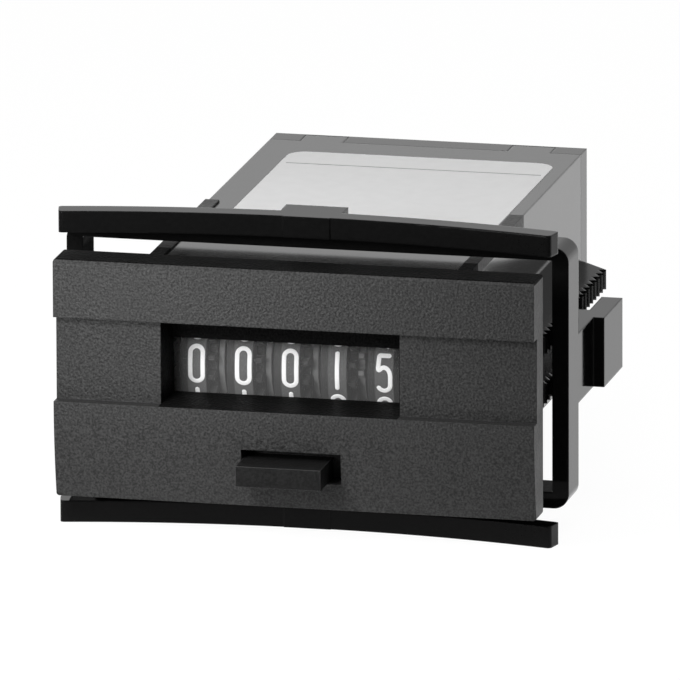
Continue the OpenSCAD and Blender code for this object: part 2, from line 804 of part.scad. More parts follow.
// Carry disc: a plain disc with the two teeth that turn the next pinion by one figure
module carry_disc() {
    turn = mesh_deg + figure_deg / 2;
    circle(disc_r);
    for (k = [-0.5, 0.5]) rotate(turn + k * 360 / wheel_teeth)
        polygon([[disc_r - carry_sink, -carry_root_w / 2], [carry_tip, -carry_tip_w / 2],
            [carry_tip, carry_tip_w / 2], [disc_r - carry_sink, carry_root_w / 2]]);
}

// Gear rim of a wheel, or the ratchet of the units wheel
module wheel_gear(i) {
    difference() {
        if (i == last_wheel) polygon(saw(ratchet_teeth, gear_r - gear_ded, gear_r + gear_add));
        else rotate(mesh_deg)
            polygon(teeth(wheel_teeth, gear_r - gear_ded, gear_r + gear_add, gear_root_deg, gear_tip_deg));
        circle(gear_hole_r);
    }
}

// A carry pinion between wheel i and wheel i + 1, with the sleeve that spaces it
module transfer_pinion(i) {
    first = rim_right + pinion_gap;
    turn = mesh_deg + 180 + 180 / pinion_teeth;
    color("#d8d8d4") translate([wheel_place(i), pinion_y, pinion_z]) rotate([0, 90, 0]) difference() {
        union() {
            translate([0, 0, first]) linear_extrude(pinion_w) rotate(turn)
                polygon(teeth(pinion_teeth, pinion_r - pinion_ded, pinion_r + pinion_add, pinion_root_deg,
                    pinion_tip_deg));
            translate([0, 0, first + pinion_w - wheel_pitch + pinion_gap])
                cylinder(r = sleeve_r, h = wheel_pitch - pinion_gap);
        }
        translate([0, 0, -wheel_pitch]) cylinder(r = pinion_shaft_r + run_fit, h = 2 * wheel_pitch);
    }
}

module coil_bobbin() {
    color("#e6e2d4") difference() {
        union() {
            bar_y(flange_r, coil_front, coil_front + flange_t, coil_x, coil_z);
            bar_y(core_r + bobbin_wall, coil_front, coil_rear, coil_x, coil_z);
            bar_y(flange_r, coil_rear - flange_t, coil_rear, coil_x, coil_z);
        }
        bar_y(core_r + room_gap, coil_front - 1, coil_rear + 1, coil_x, coil_z);
    }
}

module coil_winding() {
    color("#a8642c") difference() {
        bar_y(winding_r, coil_front + flange_t + room_gap, coil_rear - flange_t - room_gap, coil_x, coil_z);
        bar_y(core_r + bobbin_wall + room_gap, coil_front, coil_rear, coil_x, coil_z);
    }
}

module coil_core() {
    color("#9aa0a4") union() {
        bar_y(core_r, core_y, yoke_y + yoke_t, coil_x, coil_z);
        bar_y(core_r + core_head_lap, yoke_y + yoke_t, yoke_y + yoke_t + core_head_t, coil_x, coil_z);
    }
}

// L-shaped yoke with two ears for the armature's pin
module magnet_yoke() {
    low_x = coil_x - yoke_w / 2;
    high_x = coil_x + yoke_w / 2;
    color("#8d9296") difference() {
        union() {
            span([low_x, yoke_y, room_floor + room_gap], [high_x, yoke_y + yoke_t, yoke_top]);
            span([low_x, pivot_y + knuckle_r + knuckle_gap, yoke_top - yoke_t],
                [high_x, yoke_y + yoke_t, yoke_top]);
            for (x = [low_x, high_x - ear_w])
                span([x, pivot_y - ear_h / 2, yoke_top - ear_h],
                    [x + ear_w, pivot_y + knuckle_r + knuckle_gap + yoke_t, yoke_top]);
        }
        bar_y(core_r + plate_seat, yoke_y - 1, yoke_y + yoke_t + 1, coil_x, coil_z);
        bar_x(pin_r + plate_seat, low_x - 1, high_x + 1, pivot_y, pivot_z);
    }
}

module armature_pin() {
    color("#d0d3d6") bar_x(pin_r, coil_x - yoke_w / 2, coil_x + yoke_w / 2, pivot_y, pivot_z);
}

// Clapper plate with a knuckle, a bracket to the right and the arm that drives the units ratchet
module armature() {
    low_x = coil_x - armature_w / 2;
    high_x = coil_x + armature_w / 2;
    face_y = pivot_y - armature_t / 2;
    bracket_top = yoke_top - ear_h - bracket_gap;
    bracket_low = bracket_top - bracket_h;
    tip_y = axis_y + pawl_arm_tip;
    clear_r = gear_r + gear_add + carry_gap;
    tip_z = sqrt(clear_r * clear_r - pawl_arm_tip * pawl_arm_tip) + (pivot_y - tip_y) * sin(armature_deg);
    color("#8d9296") difference() {
        union() {
            bar_x(knuckle_r, low_x, high_x, pivot_y, pivot_z);
            span([low_x, face_y, armature_low], [high_x, face_y + armature_t, pivot_z]);
            span([low_x, face_y, bracket_low], [pawl_arm_x + pawl_arm_t, face_y + armature_t, bracket_top]);
            span([low_x, face_y, pull_z - pull_r], [pull_x + pull_r, face_y + armature_t, pull_z + pull_r]);
            side_slab(pawl_arm_x, pawl_arm_x + pawl_arm_t)
                polygon([[face_y + armature_t, bracket_low], [face_y + armature_t, bracket_top],
                    [pinion_y + 2 * pawl_arm_h, pawl_arm_top], [tip_y, pawl_arm_top], [tip_y, tip_z],
                    [tip_y + pawl_arm_h, pawl_arm_top - pawl_arm_h],
                    [pinion_y + pawl_arm_h, pawl_arm_top - pawl_arm_h]]);
        }
        bar_x(pin_r + run_fit, low_x - 1, high_x + 1, pivot_y, pivot_z);
    }
}

module armature_spring() {
    color("#c9c9c9") translate([pull_x, pull_start, pull_z]) rotate([-90, 0, 0])
        wire_coil(pull_spring_r, spring_wire_r, pull_l, pull_turns);
}

front_bezel();
window_lens();
reset_button();
reset_comb();
button_spring();
housing();
rear_cover();
blade_terminal(-1);  // terminal_left
blade_terminal(1);  // terminal_right
clamp_frame();
left_side_plate();
right_side_plate();
wheel_shaft();
pinion_shaft();
number_wheel(0);  // ten_thousands_wheel
number_wheel(1);  // thousands_wheel
number_wheel(2);  // hundreds_wheel
number_wheel(3);  // tens_wheel
number_wheel(4);  // units_wheel
transfer_pinion(0);  // transfer_pinion_1
transfer_pinion(1);  // transfer_pinion_2
transfer_pinion(2);  // transfer_pinion_3
transfer_pinion(3);  // transfer_pinion_4
coil_bobbin();
coil_winding();
coil_core();
magnet_yoke();
armature();
armature_pin();
armature_spring();
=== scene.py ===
"""Looks of a five-figure panel counter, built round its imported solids.

Lengths are in millimetres unless a line says metres.
The frame's axes are +X to the right, +Y through the panel to the rear and +Z up.
"""

import logging
import math
from dataclasses import dataclass
from enum import Enum
from typing import Sequence

import bmesh
import bpy
import numpy as np
from mathutils import Matrix, Vector


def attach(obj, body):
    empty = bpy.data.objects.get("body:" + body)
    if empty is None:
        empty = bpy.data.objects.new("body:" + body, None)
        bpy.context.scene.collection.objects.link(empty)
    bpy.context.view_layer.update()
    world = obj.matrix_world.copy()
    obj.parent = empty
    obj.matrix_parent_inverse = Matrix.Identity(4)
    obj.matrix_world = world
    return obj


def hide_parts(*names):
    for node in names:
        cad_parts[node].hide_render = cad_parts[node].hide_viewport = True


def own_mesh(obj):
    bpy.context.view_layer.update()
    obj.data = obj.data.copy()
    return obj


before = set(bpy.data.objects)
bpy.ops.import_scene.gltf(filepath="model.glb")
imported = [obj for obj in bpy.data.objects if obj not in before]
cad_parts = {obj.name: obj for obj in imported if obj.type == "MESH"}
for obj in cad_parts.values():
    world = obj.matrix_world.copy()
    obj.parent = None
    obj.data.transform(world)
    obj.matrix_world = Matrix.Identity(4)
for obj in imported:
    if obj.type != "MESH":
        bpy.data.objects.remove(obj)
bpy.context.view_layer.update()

LOG = logging.getLogger("panel_counter")
MM = 0.001
MERGE_M = 1e-7  # points closer than this, in metres, are one
PHOTO_SIDE = 680  # pixels
Array = np.ndarray
Socket = bpy.types.NodeSocket
Tone = tuple[float, float, float]
Point = tuple[float, float, float]
Flat = tuple[float, float]
Box = tuple[Point, Point]


def grey(level: float, warmth: float = 0.0) -> Tone:
    """A near-neutral linear colour of the given level, warmed a little towards red."""
    return (level * (1 + warmth), level, level * (1 - warmth))


def scaled(tone: Tone, factor: float) -> Tone:
    """A colour made lighter or darker by a factor."""
    red, green, blue = tone
    return (red * factor, green * factor, blue * factor)


class ShaderSheet:
    """One material's node tree, with short calls for the nodes that the finishes share."""

    MIX_INPUTS = (6, 7)  # places of the Mix node's two colour sockets
    MIX_OUTPUT = 2  # place of its mixed colour
    EDGE_SAMPLES = 4  # rays that look for an edge to round
    HIGHLIGHT_SAMPLES = 6  # rays that look for an edge to paint a highlight on
    HIGHLIGHT_COSINES = (0.8, 0.99)  # from an edge with the full painted highlight to a flat

    def __init__(self, name: str) -> None:
        """Makes an empty material with a Principled shader and an output.

        Args:
            name: Name of the material.
        """
        self.material = bpy.data.materials.new(name)
        self.material.use_nodes = True
        self.tree = self.material.node_tree
        self.tree.nodes.clear()
        output = self.tree.nodes.new("ShaderNodeOutputMaterial")
        self.shader = self.tree.nodes.new("ShaderNodeBsdfPrincipled")
        self.join(self.shader.outputs["BSDF"], output.inputs["Surface"])
        self.place = self.tree.nodes.new("ShaderNodeTexCoord").outputs["Object"]

    def join(self, start: Socket, end: Socket) -> None:
        """Links one socket to another."""
        self.tree.links.new(start, end)

    def feed(self, key: str, value: Socket) -> None:
        """Links a value that varies over the surface to a socket of the shader."""
        self.join(value, self.shader.inputs[key])

    def uniform(self, **values: float | Sequence[float]) -> None:
        """Sets values that are the same all over the surface on the shader's own sockets.

        Args:
            values: Socket names with underscores for spaces, and their values.
        """
        for key, value in values.items():
            self.shader.inputs[key.replace("_", " ")].default_value = value

    def stretched(self, scale: Sequence[float]) -> Socket:
        """Object coordinates, scaled along each axis.

        Args:
            scale: Factors along X, Y and Z.

        Returns:
            The stretched coordinates.
        """
        node = self.tree.nodes.new("ShaderNodeMapping")
        node.inputs["Scale"].default_value = scale
        self.join(self.place, node.inputs["Vector"])
        return node.outputs["Vector"]

    def noise(self, size_mm: float, detail: float = 2.0, vector: Socket | None = None,
              roughness: float = 0.5) -> Socket:
        """Soft noise whose features are about size_mm across.

        Args:
            size_mm: Size of a feature in millimetres.
            detail: Number of finer octaves.
            vector: Coordinates, or none for plain Object coordinates.
            roughness: Weight of the finer octaves.

        Returns:
            A value from 0 to 1.
        """
        node = self.tree.nodes.new("ShaderNodeTexNoise")
        node.inputs["Scale"].default_value = 1 / (size_mm * MM)
        node.inputs["Detail"].default_value = detail
        node.inputs["Roughness"].default_value = roughness
        self.join(vector or self.place, node.inputs["Vector"])
        return node.outputs["Fac"]

    def cells(self, size_mm: float) -> Socket:
        """Distance from the nearest cell centre.

        Args:
            size_mm: Size of a cell in millimetres.

        Returns:
            The distance, as a share of the cell's size.
        """
        node = self.tree.nodes.new("ShaderNodeTexVoronoi")
        node.inputs["Scale"].default_value = 1 / (size_mm * MM)
        self.join(self.place, node.inputs["Vector"])
        return node.outputs["Distance"]

    def math(self, operation: str, first: Socket | float, second: Socket | float = 0.0) -> Socket:
        """One arithmetic step.

        Args:
            operation: Name of Blender's Math operation.
            first: First value or socket.
            second: Second value or socket.

        Returns:
            The result.
        """
        node = self.tree.nodes.new("ShaderNodeMath")
        node.operation = operation
        for slot, value in zip(node.inputs, (first, second)):
            if isinstance(value, Socket):
                self.join(value, slot)
            else:
                slot.default_value = value
        return node.outputs[0]

    def ramp(self, value: Socket, low: float, high: float, out_low: float, out_high: float) -> Socket:
        """Maps low..high of a value to out_low..out_high, held at the ends.

        Args:
            value: The value to map.
            low: Value that gives out_low.
            high: Value that gives out_high.
            out_low: Result at low.
            out_high: Result at high.

        Returns:
            The mapped value.
        """
        node = self.tree.nodes.new("ShaderNodeMapRange")
        self.join(value, node.inputs["Value"])
        for key, number in (("From Min", low), ("From Max", high), ("To Min", out_low), ("To Max", out_high)):
            node.inputs[key].default_value = number
        return node.outputs["Result"]

    def mix(self, share: Socket, first: Tone | Socket, second: Tone | Socket) -> Socket:
        """A colour between two others.

        Args:
            share: 0 gives the first colour, 1 the second.
            first: First colour or socket.
            second: Second colour or socket.

        Returns:
            The mixed colour.
        """
        node = self.tree.nodes.new("ShaderNodeMix")
        node.data_type = "RGBA"
        self.join(share, node.inputs[0])
        for place, value in zip(self.MIX_INPUTS, (first, second)):
            if isinstance(value, Socket):
                self.join(value, node.inputs[place])
            else:
                node.inputs[place].default_value = (*value, 1.0)
        return node.outputs[self.MIX_OUTPUT]

    def axis(self, name: str) -> Socket:
        """One Object coordinate.

        Args:
            name: X, Y or Z.

        Returns:
            The coordinate, in metres.
        """
        node = self.tree.nodes.new("ShaderNodeSeparateXYZ")
        self.join(self.place, node.inputs["Vector"])
        return node.outputs[name]

    def inside(self, low_mm: Point, high_mm: Point) -> Socket:
        """A value of 1 inside a box and 0 outside it.

        Args:
            low_mm: Lowest corner in millimetres.
            high_mm: Highest corner in millimetres.

        Returns:
            The value.
        """
        share: Socket | float = 1.0
        for name, low, high in zip("XYZ", low_mm, high_mm):
            place = self.axis(name)
            above = self.math("GREATER_THAN", place, low * MM)
            below = self.math("LESS_THAN", place, high * MM)
            share = self.math("MULTIPLY", self.math("MULTIPLY", above, below), share)
        return share

    def rounded(self, radius_mm: float, samples: int) -> Socket:
        """The normal of a surface whose edges are rounded in the shading.

        Args:
            radius_mm: Radius of the edges in millimetres.
            samples: Number of rays that look for an edge.

        Returns:
            The normal.
        """
        bevel = self.tree.nodes.new("ShaderNodeBevel")
        bevel.samples = samples
        bevel.inputs["Radius"].default_value = radius_mm * MM
        return bevel.outputs["Normal"]

    def edges(self, radius_mm: float) -> Socket:
        """A value of 1 along sharp edges and 0 on flats.

        It comes from the cosine between the plain normal and the normal of a rounded edge.

        Args:
            radius_mm: Radius of the rounded edge in millimetres.

        Returns:
            The value.
        """
        plain = self.tree.nodes.new("ShaderNodeNewGeometry")
        cosine = self.tree.nodes.new("ShaderNodeVectorMath")
        cosine.operation = "DOT_PRODUCT"
        self.join(plain.outputs["Normal"], cosine.inputs[0])
        self.join(self.rounded(radius_mm, self.HIGHLIGHT_SAMPLES), cosine.inputs[1])
        return self.ramp(cosine.outputs["Value"], *self.HIGHLIGHT_COSINES, 1.0, 0.0)

    def relief(self, height: Socket, depth_mm: float, edge_mm: float) -> None:
        """Lays a bump of the given depth over edges that are rounded in the shading.

        Args:
            height: Height from 0 to 1.
            depth_mm: Depth of the bump in millimetres.
            edge_mm: Radius of the rounded edges in millimetres, or 0 to leave them sharp.
        """
        bump = self.tree.nodes.new("ShaderNodeBump")
        bump.inputs["Distance"].default_value = depth_mm * MM
        self.join(height, bump.inputs["Height"])
        if edge_mm > 0:
            self.join(self.rounded(edge_mm, self.EDGE_SAMPLES), bump.inputs["Normal"])
        self.feed("Normal", bump.outputs["Normal"])


class Grain(Enum):
    """How a mould's wall was finished."""

    SPARK = "spark eroded"
    SATIN = "satin"
    GLOSS = "polished"


@dataclass(frozen=True)
class MouldedPlastic:
    """A plastic moulding: its tone, its gloss and the grain of its mould.

    Attributes:
        name: Name of the material.
        tone: Linear base colour.
        roughness: Middle roughness.
        grain: Finish of the mould's wall.
        grain_mm: Size of the grain.
        depth_mm: Depth of the grain.
        mottle: Share by which the tone varies.
        edge_mm: Radius of the moulding's edges.
        ior: Index of refraction, which sets the strength of the gloss.
        painted_shade: Lowest and highest corners of boxes within which the walls get painted shade, a darker
            colour and less gloss.
        painted_edge_highlight: How much lighter the edges are painted, a painted highlight where light would
            catch them.
    """

    name: str
    tone: Tone
    roughness: float
    grain: Grain
    grain_mm: float = 0.3
    depth_mm: float = 0.02
    mottle: float = 0.1
    edge_mm: float = 0.12
    ior: float = 1.5
    painted_shade: tuple[Box, ...] = ()
    painted_edge_highlight: float = 0.0

    SPARK_DETAIL = 1.5  # octaves of a spark-eroded grain
    SMOOTH_DETAIL = 3.0  # octaves of the other grains
    GRAIN_ROUGHNESS = 0.6  # weight of the finer octaves
    PEBBLE_SCALE = 1.6  # size of a pebble over that of the grain
    PEBBLE_REACH = (0.1, 0.75)  # from a pebble's top to its foot
    PEBBLE_SHARE = 0.4  # share of the pebbles in the height
    WAVE_SCALE = 12  # size of a polished wall's waves over that of the grain
    WAVE_DETAIL = 1.0
    SPECKLE_REACH = (0.36, 0.64)
    CLOUD_MM = 5.0  # size of the places that differ in gloss
    CLOUD_REACH = (0.25, 0.75)
    GLOSS_SPREAD = 0.15  # share by which the roughness varies
    PAINTED_SHADE_SHARE = 0.2  # tone of a wall in painted shade over the plain tone
    # specular level outside the painted shade and inside it, where the gloss is taken down
    PLAIN_SPECULAR = 0.5
    PAINTED_SHADE_SPECULAR = 0.02

    def material(self) -> bpy.types.Material:
        """Builds the material.

        Returns:
            A material whose colour, roughness and relief follow the grain.
        """
        sheet = ShaderSheet(self.name)
        spark = self.grain is Grain.SPARK
        fine = sheet.noise(self.grain_mm, self.SPARK_DETAIL if spark else self.SMOOTH_DETAIL,
                           roughness=self.GRAIN_ROUGHNESS)
        height = fine
        if spark:
            pebble = sheet.ramp(sheet.cells(self.grain_mm * self.PEBBLE_SCALE), *self.PEBBLE_REACH, 1.0, 0.0)
            height = sheet.math("ADD", sheet.math("MULTIPLY", fine, 1 - self.PEBBLE_SHARE),
                                sheet.math("MULTIPLY", pebble, self.PEBBLE_SHARE))
        elif self.grain is Grain.GLOSS:
            height = sheet.noise(self.grain_mm * self.WAVE_SCALE, self.WAVE_DETAIL)
        speckle = sheet.ramp(fine, *self.SPECKLE_REACH, 0.0, 1.0)
        low = scaled(self.tone, 1 - self.mottle)
        high = scaled(self.tone, 1 + self.mottle)
        colour = sheet.mix(speckle, low, high)
        # Painted shade: inside the boxes the colour is darkened and the gloss taken down, where shade falls
        # in recesses and under other parts.
        if self.painted_shade:
            shaded = sheet.mix(speckle, scaled(low, self.PAINTED_SHADE_SHARE), scaled(high, self.PAINTED_SHADE_SHARE))
            within = sheet.inside(*self.painted_shade[0])
            for box in self.painted_shade[1:]:
                within = sheet.math("MAXIMUM", within, sheet.inside(*box))
            colour = sheet.mix(within, colour, shaded)
            specular = sheet.ramp(within, 0.0, 1.0, self.PLAIN_SPECULAR, self.PAINTED_SHADE_SPECULAR)
            sheet.feed("Specular IOR Level", specular)
        # Painted highlight: the edges are painted lighter, as where light catches them.
        if self.painted_edge_highlight:
            highlighted = tuple(channel + self.painted_edge_highlight for channel in self.tone)
            colour = sheet.mix(sheet.edges(self.edge_mm), colour, highlighted)
        sheet.feed("Base Color", colour)
        spread = sheet.ramp(sheet.noise(self.CLOUD_MM), *self.CLOUD_REACH,
                            self.roughness * (1 - self.GLOSS_SPREAD),
                            self.roughness * (1 + self.GLOSS_SPREAD))
        sheet.feed("Roughness", spread)
        sheet.uniform(IOR=self.ior)
        sheet.relief(height, self.depth_mm, self.edge_mm)
        return sheet.material


@dataclass(frozen=True)
class PlatedMetal:
    """Sheet or wire metal with fine drawing marks along one axis.

    Attributes:
        name: Name of the material.
        tone: Linear base colour.
        roughness: Middle roughness.
        stretch: Scale of the marks along X, Y and Z; the smallest is their direction.
    """

    name: str
    tone: Tone
    roughness: float
    stretch: Point = (1.0, 0.08, 1.0)

    MARK_MM = 0.12  # width of a drawing mark
    MARK_REACH = (0.3, 0.7)
    MARK_DEPTH_MM = 0.006
    TARNISH_MM = 2.2  # size of a tarnished place
    TARNISH_DETAIL = 3.0
    TARNISH_REACH = (0.35, 0.75)
    TARNISH_SHARE = 0.78  # tone of tarnish over the clean tone
    GLOSS_SPREAD = (0.75, 1.3)  # smoothest and roughest mark over the middle roughness
    EDGE_MM = 0.06

    def material(self) -> bpy.types.Material:
        """Builds the material.

        Returns:
            A metal with drawn marks and slight tarnish.
        """
        sheet = ShaderSheet(self.name)
        marks = sheet.noise(self.MARK_MM, vector=sheet.stretched(self.stretch))
        patches = sheet.noise(self.TARNISH_MM, self.TARNISH_DETAIL)
        tarnish = sheet.ramp(patches, *self.TARNISH_REACH, 0.0, 1.0)
        sheet.feed("Base Color", sheet.mix(tarnish, self.tone, scaled(self.tone, self.TARNISH_SHARE)))
        smooth, rough = (self.roughness * share for share in self.GLOSS_SPREAD)
        sheet.feed("Roughness", sheet.ramp(marks, *self.MARK_REACH, smooth, rough))
        sheet.uniform(Metallic=1.0)
        sheet.relief(marks, self.MARK_DEPTH_MM, self.EDGE_MM)
        return sheet.material


@dataclass(frozen=True)
class WheelPlastic:
    """The figure wheels' plastic, lighter in the band that carries the figures.

    Attributes:
        name: Name of the material.
        dark: Tone beside the figures.
        light: Tone of the band behind the figures.
        disc: Tone of the carry discs.
        pitch_mm: Distance from wheel to wheel.
        centre_mm: Place of one wheel's figure.
        band_mm: Half the width of the lighter band.
        disc_mm: Width of a carry disc, which ends half a pitch before the figure.
    """

    name: str
    dark: Tone
    light: Tone
    disc: Tone
    pitch_mm: float
    centre_mm: float
    band_mm: float
    disc_mm: float

    FOLD_PITCHES = 20.5  # keeps the folded place positive and the figure in the fold's middle
    BLUR_MM = 0.06  # half the width of the band's soft edge
    BAND_SPREAD = 1.12  # lightest tone of the band over its plain tone
    GRAIN_MM = 0.22
    GRAIN_DETAIL = 3.0
    GRAIN_DEPTH_MM = 0.006
    TONE_REACH = (0.3, 0.7)
    GLOSS_REACH = (0.2, 0.8)
    ROUGHNESS = (0.38, 0.55)
    EDGE_MM = 0.08
    IOR = 1.36

    def material(self) -> bpy.types.Material:
        """Builds the material.

        The place along X, less the wheel's centre, is folded into one pitch; its distance from
        the fold's middle tells the band from the rest, and the fold's end holds the carry disc.

        Returns:
            A satin plastic with a lighter band and a light carry disc on every wheel.
        """
        sheet = ShaderSheet(self.name)
        along = sheet.math("DIVIDE", sheet.axis("X"), MM)
        shifted = sheet.math("ADD", along, self.pitch_mm * self.FOLD_PITCHES - self.centre_mm)
        folded = sheet.math("MODULO", shifted, self.pitch_mm)
        distance = sheet.math("ABSOLUTE", sheet.math("SUBTRACT", folded, self.pitch_mm / 2))
        band = sheet.ramp(distance, self.band_mm - self.BLUR_MM, self.band_mm + self.BLUR_MM, 1.0, 0.0)
        fine = sheet.noise(self.GRAIN_MM, self.GRAIN_DETAIL)
        band_tone = sheet.mix(sheet.ramp(fine, *self.TONE_REACH, 0.0, 1.0), self.light,
                              scaled(self.light, self.BAND_SPREAD))
        rim_tone = sheet.mix(band, self.dark, band_tone)
        disc = sheet.math("GREATER_THAN", folded, self.pitch_mm - self.disc_mm)
        sheet.feed("Base Color", sheet.mix(disc, rim_tone, self.disc))
        sheet.feed("Roughness", sheet.ramp(fine, *self.GLOSS_REACH, *self.ROUGHNESS))
        sheet.uniform(IOR=self.IOR)
        sheet.relief(fine, self.GRAIN_DEPTH_MM, self.EDGE_MM)
        return sheet.material


@dataclass(frozen=True)
class ClearPane:
    """A clear moulded pane that hardly tints what lies behind it.

    Attributes:
        name: Name of the material.
        cover: Share of what lies behind that the pane hides.
    """

    name: str
    cover: float

    HAZE_MM = 3.0  # size of the moulding marks
    HAZE_TONES = (grey(0.40), grey(0.48))
    GLOSS_REACH = (0.3, 0.7)
    ROUGHNESS = (0.03, 0.07)
    IOR = 1.49

    def material(self) -> bpy.types.Material:
        """Builds the material.

        Returns:
            A mostly see-through material with faint moulding marks.
        """
        sheet = ShaderSheet(self.name)
        haze = sheet.noise(self.HAZE_MM)
        sheet.feed("Base Color", sheet.mix(haze, *self.HAZE_TONES))
        sheet.feed("Roughness", sheet.ramp(haze, *self.GLOSS_REACH, *self.ROUGHNESS))
        sheet.uniform(Alpha=self.cover, IOR=self.IOR)
        return sheet.material


@dataclass(frozen=True)
class FilmOrInk:
    """A thin printed or stuck-on layer.

    Attributes:
        name: Name of the material.
        tone: Linear base colour.
        roughness: Middle roughness.
        metallic: Share of metal in the film.
        vary: Share by which the tone varies.
    """

    name: str
    tone: Tone
    roughness: float
    metallic: float = 0.0
    vary: float = 0.04

    CLOUD_MM = 1.6  # size of the uneven places
    CLOUD_DETAIL = 3.0
    CLOUD_REACH = (0.3, 0.7)
    GLOSS_SPREAD = 0.1  # share by which the roughness varies
    GRAIN_MM = 0.25
    GRAIN_DEPTH_MM = 0.003

    def material(self) -> bpy.types.Material:
        """Builds the material.

        Returns:
            A layer with slight unevenness in tone, gloss and thickness.
        """
        sheet = ShaderSheet(self.name)
        cloud = sheet.noise(self.CLOUD_MM, self.CLOUD_DETAIL)
        uneven = sheet.ramp(cloud, *self.CLOUD_REACH, 0.0, 1.0)
        sheet.feed("Base Color", sheet.mix(uneven, self.tone, scaled(self.tone, 1 - self.vary)))
        spread = sheet.ramp(cloud, *self.CLOUD_REACH, self.roughness * (1 - self.GLOSS_SPREAD),
                            self.roughness * (1 + self.GLOSS_SPREAD))
        sheet.feed("Roughness", spread)
        sheet.uniform(Metallic=self.metallic)
        sheet.relief(sheet.noise(self.GRAIN_MM), self.GRAIN_DEPTH_MM, 0.0)
        return sheet.material


@dataclass(frozen=True)
class WoundWire:
    """Enamelled wire wound side by side along Y.

    Attributes:
        name: Name of the material.
        tone: Linear base colour.
        wire_mm: Thickness of the wire.
    """

    name: str
    tone: Tone
    wire_mm: float

    GROOVE_SHARE = 0.35  # painted shade between two turns, over the wire's tone
    GLOSS_MM = 1.5  # size of the places that differ in gloss
    GLOSS_REACH = (0.3, 0.7)
    ROUGHNESS = (0.2, 0.32)

    def material(self) -> bpy.types.Material:
        """Builds the material: a triangle wave along Y gives each turn's height and shade.

        Returns:
            A material with rings of wire.
        """
        sheet = ShaderSheet(self.name)
        along = sheet.math("DIVIDE", sheet.axis("Y"), self.wire_mm * MM)
        turn = sheet.math("PINGPONG", along, 1.0)
        sheet.feed("Base Color", sheet.mix(turn, scaled(self.tone, self.GROOVE_SHARE), self.tone))
        gloss = sheet.noise(self.GLOSS_MM)
        sheet.feed("Roughness", sheet.ramp(gloss, *self.GLOSS_REACH, *self.ROUGHNESS))
        sheet.relief(turn, self.wire_mm / 2, 0.0)
        return sheet.material


# Boxes where the walls get painted shade: the window tunnel, the front's top under the clamp, the tongues'
# roots and the tops of the rails.
WINDOW_TUNNEL: Box = ((-13.55, -3.98, -2.4), (10.35, 4.0, 6.2))
FRONT_TOP: Box = ((-24.5, -3.75, 11.7), (24.5, 0.5, 12.5))
TONGUE_ROOTS: Box = ((-17.0, 0.45, 9.5), (17.0, 6.5, 11.6))
RIGHT_RAIL_TOP: Box = ((16.1, -1.3, 3.3), (23.0, 40.0, 3.7))
LEFT_RAIL_TOP: Box = ((-23.0, -1.3, 3.3), (-16.1, 40.0, 3.7))

FRONT_PLASTIC = MouldedPlastic("front_grain", grey(0.026), 0.44, Grain.SPARK, grain_mm=0.21, depth_mm=0.072,
                               mottle=0.42, edge_mm=0.15, ior=1.36,
                               painted_shade=(WINDOW_TUNNEL, FRONT_TOP, TONGUE_ROOTS))
# The key's edges carry a painted highlight.
KEY_PLASTIC = MouldedPlastic("key_grain", grey(0.008), 0.42, Grain.SPARK, grain_mm=0.24, depth_mm=0.03,
                             mottle=0.3, edge_mm=0.15, ior=1.33, painted_edge_highlight=0.035)
HOUSING_PLASTIC = MouldedPlastic("housing_gloss", grey(0.018), 0.15, Grain.GLOSS, grain_mm=0.4,
                                 depth_mm=0.006, mottle=0.06, edge_mm=0.3, ior=1.62,
                                 painted_shade=(RIGHT_RAIL_TOP, LEFT_RAIL_TOP))
COVER_PLASTIC = MouldedPlastic("cover_gloss", grey(0.014), 0.12, Grain.GLOSS, grain_mm=0.4, depth_mm=0.006,
                               mottle=0.06, edge_mm=0.25, ior=1.37)
CLAMP_PLASTIC = MouldedPlastic("clamp_gloss", grey(0.004), 0.07, Grain.GLOSS, grain_mm=0.45, depth_mm=0.004,
                               mottle=0.1, edge_mm=0.25, ior=1.225)
PINION_PLASTIC = MouldedPlastic("pinion_satin", grey(0.68, 0.02), 0.40, Grain.SATIN, grain_mm=0.2,
                                depth_mm=0.004, mottle=0.04, edge_mm=0.05)
BOBBIN_PLASTIC = MouldedPlastic("bobbin_satin", (0.72, 0.67, 0.52), 0.42, Grain.SATIN, grain_mm=0.25,
                                depth_mm=0.006, mottle=0.05, edge_mm=0.08)
PLATED_STEEL = PlatedMetal("plated_steel", grey(0.62, 0.01), 0.30)
SPRING_WIRE = PlatedMetal("spring_wire", grey(0.68), 0.22, stretch=(1.0, 1.0, 1.0))
SOFT_IRON = PlatedMetal("soft_iron", grey(0.50, 0.01), 0.38, stretch=(0.1, 1.0, 1.0))
BLADE_BRASS = PlatedMetal("blade_brass", (0.76, 0.62, 0.36), 0.28)
COIL_WIRE = WoundWire("coil_wire", (0.42, 0.14, 0.05), wire_mm=0.16)
PANE = ClearPane("clear_pane", cover=0.06)
FIGURE_INK = FilmOrInk("figure_white", grey(0.98), 0.45, vary=0.02)
LABEL_FILM = FilmOrInk("label_film", grey(0.88), 0.38, vary=0.03)
RULE_INK = FilmOrInk("rule_grey", grey(0.30), 0.5)


def add_object(name: str, data: bpy.types.ID) -> bpy.types.Object:
    """Makes an object and puts it in the scene.

    Args:
        name: Name of the object.
        data: Its mesh, camera or lamp.

    Returns:
        The object, at the origin.
    """
    obj = bpy.data.objects.new(name, data)
    bpy.context.scene.collection.objects.link(obj)
    return obj


def merge(mesh: bpy.types.Mesh, outward: bool = False) -> None:
    """Joins those points of a mesh that lie in one place.

    Args:
        mesh: The mesh.
        outward: Whether its faces are then turned outwards.
    """
    shape = bmesh.new()
    shape.from_mesh(mesh)
    bmesh.ops.remove_doubles(shape, verts=shape.verts, dist=MERGE_M)
    if outward:
        bmesh.ops.recalc_face_normals(shape, faces=shape.faces)
    shape.to_mesh(mesh)
    shape.free()


